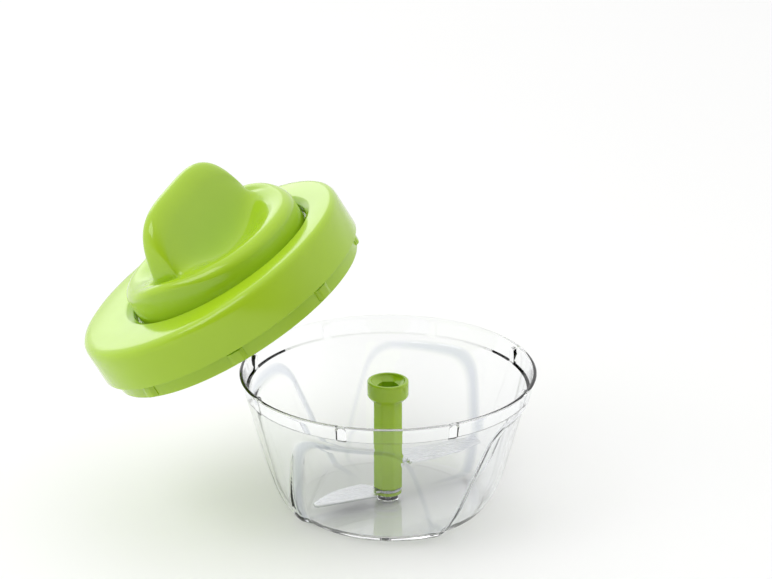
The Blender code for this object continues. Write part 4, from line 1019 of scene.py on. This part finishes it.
dress(buildBowl(), clear, "bowl", "clear_plastic", "bowl")
dress(buildShaft(), green, "blade_unit", "green_plastic", "blade_shaft")
dress(buildBlade("bladeUpper", -blade["tang"] / 2, blade["upperReach"], blade["chord"] * blade["upperSweep"],
                 blade["upperZ"], blade["heading"]), bladeSteel, "blade_unit", "steel", "blade_upper")
dress(buildLowerBlade(), bladeSteel, "blade_unit", "steel", "blade_lower")
dress(buildLidCover(), green, "lid", "green_plastic", "lid_cover")
dress(buildUnderplate(), green, "lid", "green_plastic", "lid_underplate")
dress(buildRamps(), green, "lid", "green_plastic")
dress(buildScrews(), steel, "lid", "steel", "lid_screw_1", "lid_screw_2", "lid_screw_3", "lid_screw_4")
dress(buildKnob(), green, "knob", "green_plastic", "knob_shell")
coil = dress(buildSpring(), steel, "lid", "steel", "hold_spring")
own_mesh(coil)


def dressCadNodes():
    finishes = {"green_plastic": green, "clear_plastic": clear, "steel": steel, "nylon": nylon}
    for part in frame["record"]["subparts"]:
        node = frame["nodes"][part["node"]]
        for place in node.material_slots:
            place.material = finishes[part["material_slot"]]


dressCadNodes()
print("pieces dressed")


# floor, light and camera

studio = {"floorSize": 12.0, "floorColour": (0.93, 0.93, 0.925, 1.0), "sky": 1.08,
          "front": 0.08, "fadeFrom": -0.95, "fadeTo": -0.15, "lampAim": Vector((-0.05, 0.0, 0.12)),
          "keySize": 1.3, "keyPower": 15.0, "keyPlace": (-1.3, -0.7, 1.7),
          "backSize": (1.0, 0.9), "backPower": 2.6, "backPlace": (-0.85, 1.85, 0.72),
          "floorDrop": 0.4 * mm,
          "aim": Vector((-0.001, 0.0, 0.1168)), "distance": 2.0, "elevation": 21.8, "lens": 186.5}


def buildFloor():
    half = studio["floorSize"] / 2
    low = -studio["floorDrop"]   # a hair of air under the clear bowl
    corners = [(-half, -half, low), (half, -half, low), (half, half, low), (-half, half, low)]
    floor = finishMesh("studioFloor", corners, [(0, 1, 2, 3)])
    material, tree, shader = newMaterial("palePaper", {"Specular IOR Level": 0.1})
    skin = placeGroup(tree, moulded, {"Colour": studio["floorColour"],
                                      "Cloud Scale": 3.0, "Cloud Amount": 0.004,
                                      "Gloss Low": 0.7, "Gloss High": 0.8})
    tree.links.new(skin.outputs["Colour"], shader.inputs["Base Color"])
    tree.links.new(skin.outputs["Roughness"], shader.inputs["Roughness"])
    floor.data.materials.append(material)


def aimAt(thing, place, target):
    thing.location = place
    thing.rotation_euler = (target - Vector(place)).to_track_quat("-Z", "Y").to_euler()


def addSoftbox(name, place, size, power):
    lamp = bpy.data.lights.new(name, "AREA")
    lamp.shape = "RECTANGLE"
    lamp.size, lamp.size_y = size
    lamp.energy = power
    thing = bpy.data.objects.new(name, lamp)
    bpy.context.collection.objects.link(thing)
    aimAt(thing, place, studio["lampAim"])


def buildStudio():
    scene = bpy.context.scene
    scene.view_settings.view_transform = "Standard"
    world = bpy.data.worlds.new("paleRoom")
    world.use_nodes = True
    tree = world.node_tree
    background = tree.nodes["Background"]
    background.inputs["Color"].default_value = (1.0, 1.0, 1.0, 1.0)
    direction = tree.nodes.new("ShaderNodeTexCoord").outputs["Generated"]
    split = tree.nodes.new("ShaderNodeSeparateXYZ")
    tree.links.new(direction, split.inputs[0])
    fade = remap(tree, split.outputs["Y"], studio["fadeFrom"], studio["fadeTo"],
                 studio["front"], studio["sky"])
    tree.links.new(fade, background.inputs["Strength"])
    scene.world = world
    addSoftbox("keyBox", studio["keyPlace"], (studio["keySize"], studio["keySize"]), studio["keyPower"])
    addSoftbox("backBox", studio["backPlace"], studio["backSize"], studio["backPower"])
    lens = bpy.data.cameras.new("studioCamera")
    lens.lens, lens.sensor_width, lens.clip_end = studio["lens"], 36.0, 30.0
    camera = bpy.data.objects.new("studioCamera", lens)
    bpy.context.collection.objects.link(camera)
    angle = math.radians(studio["elevation"])
    offset = Vector((0.0, -math.cos(angle), math.sin(angle))) * studio["distance"]
    aimAt(camera, studio["aim"] + offset, studio["aim"])
    scene.camera = camera


buildFloor()
buildStudio()
print("studio set")
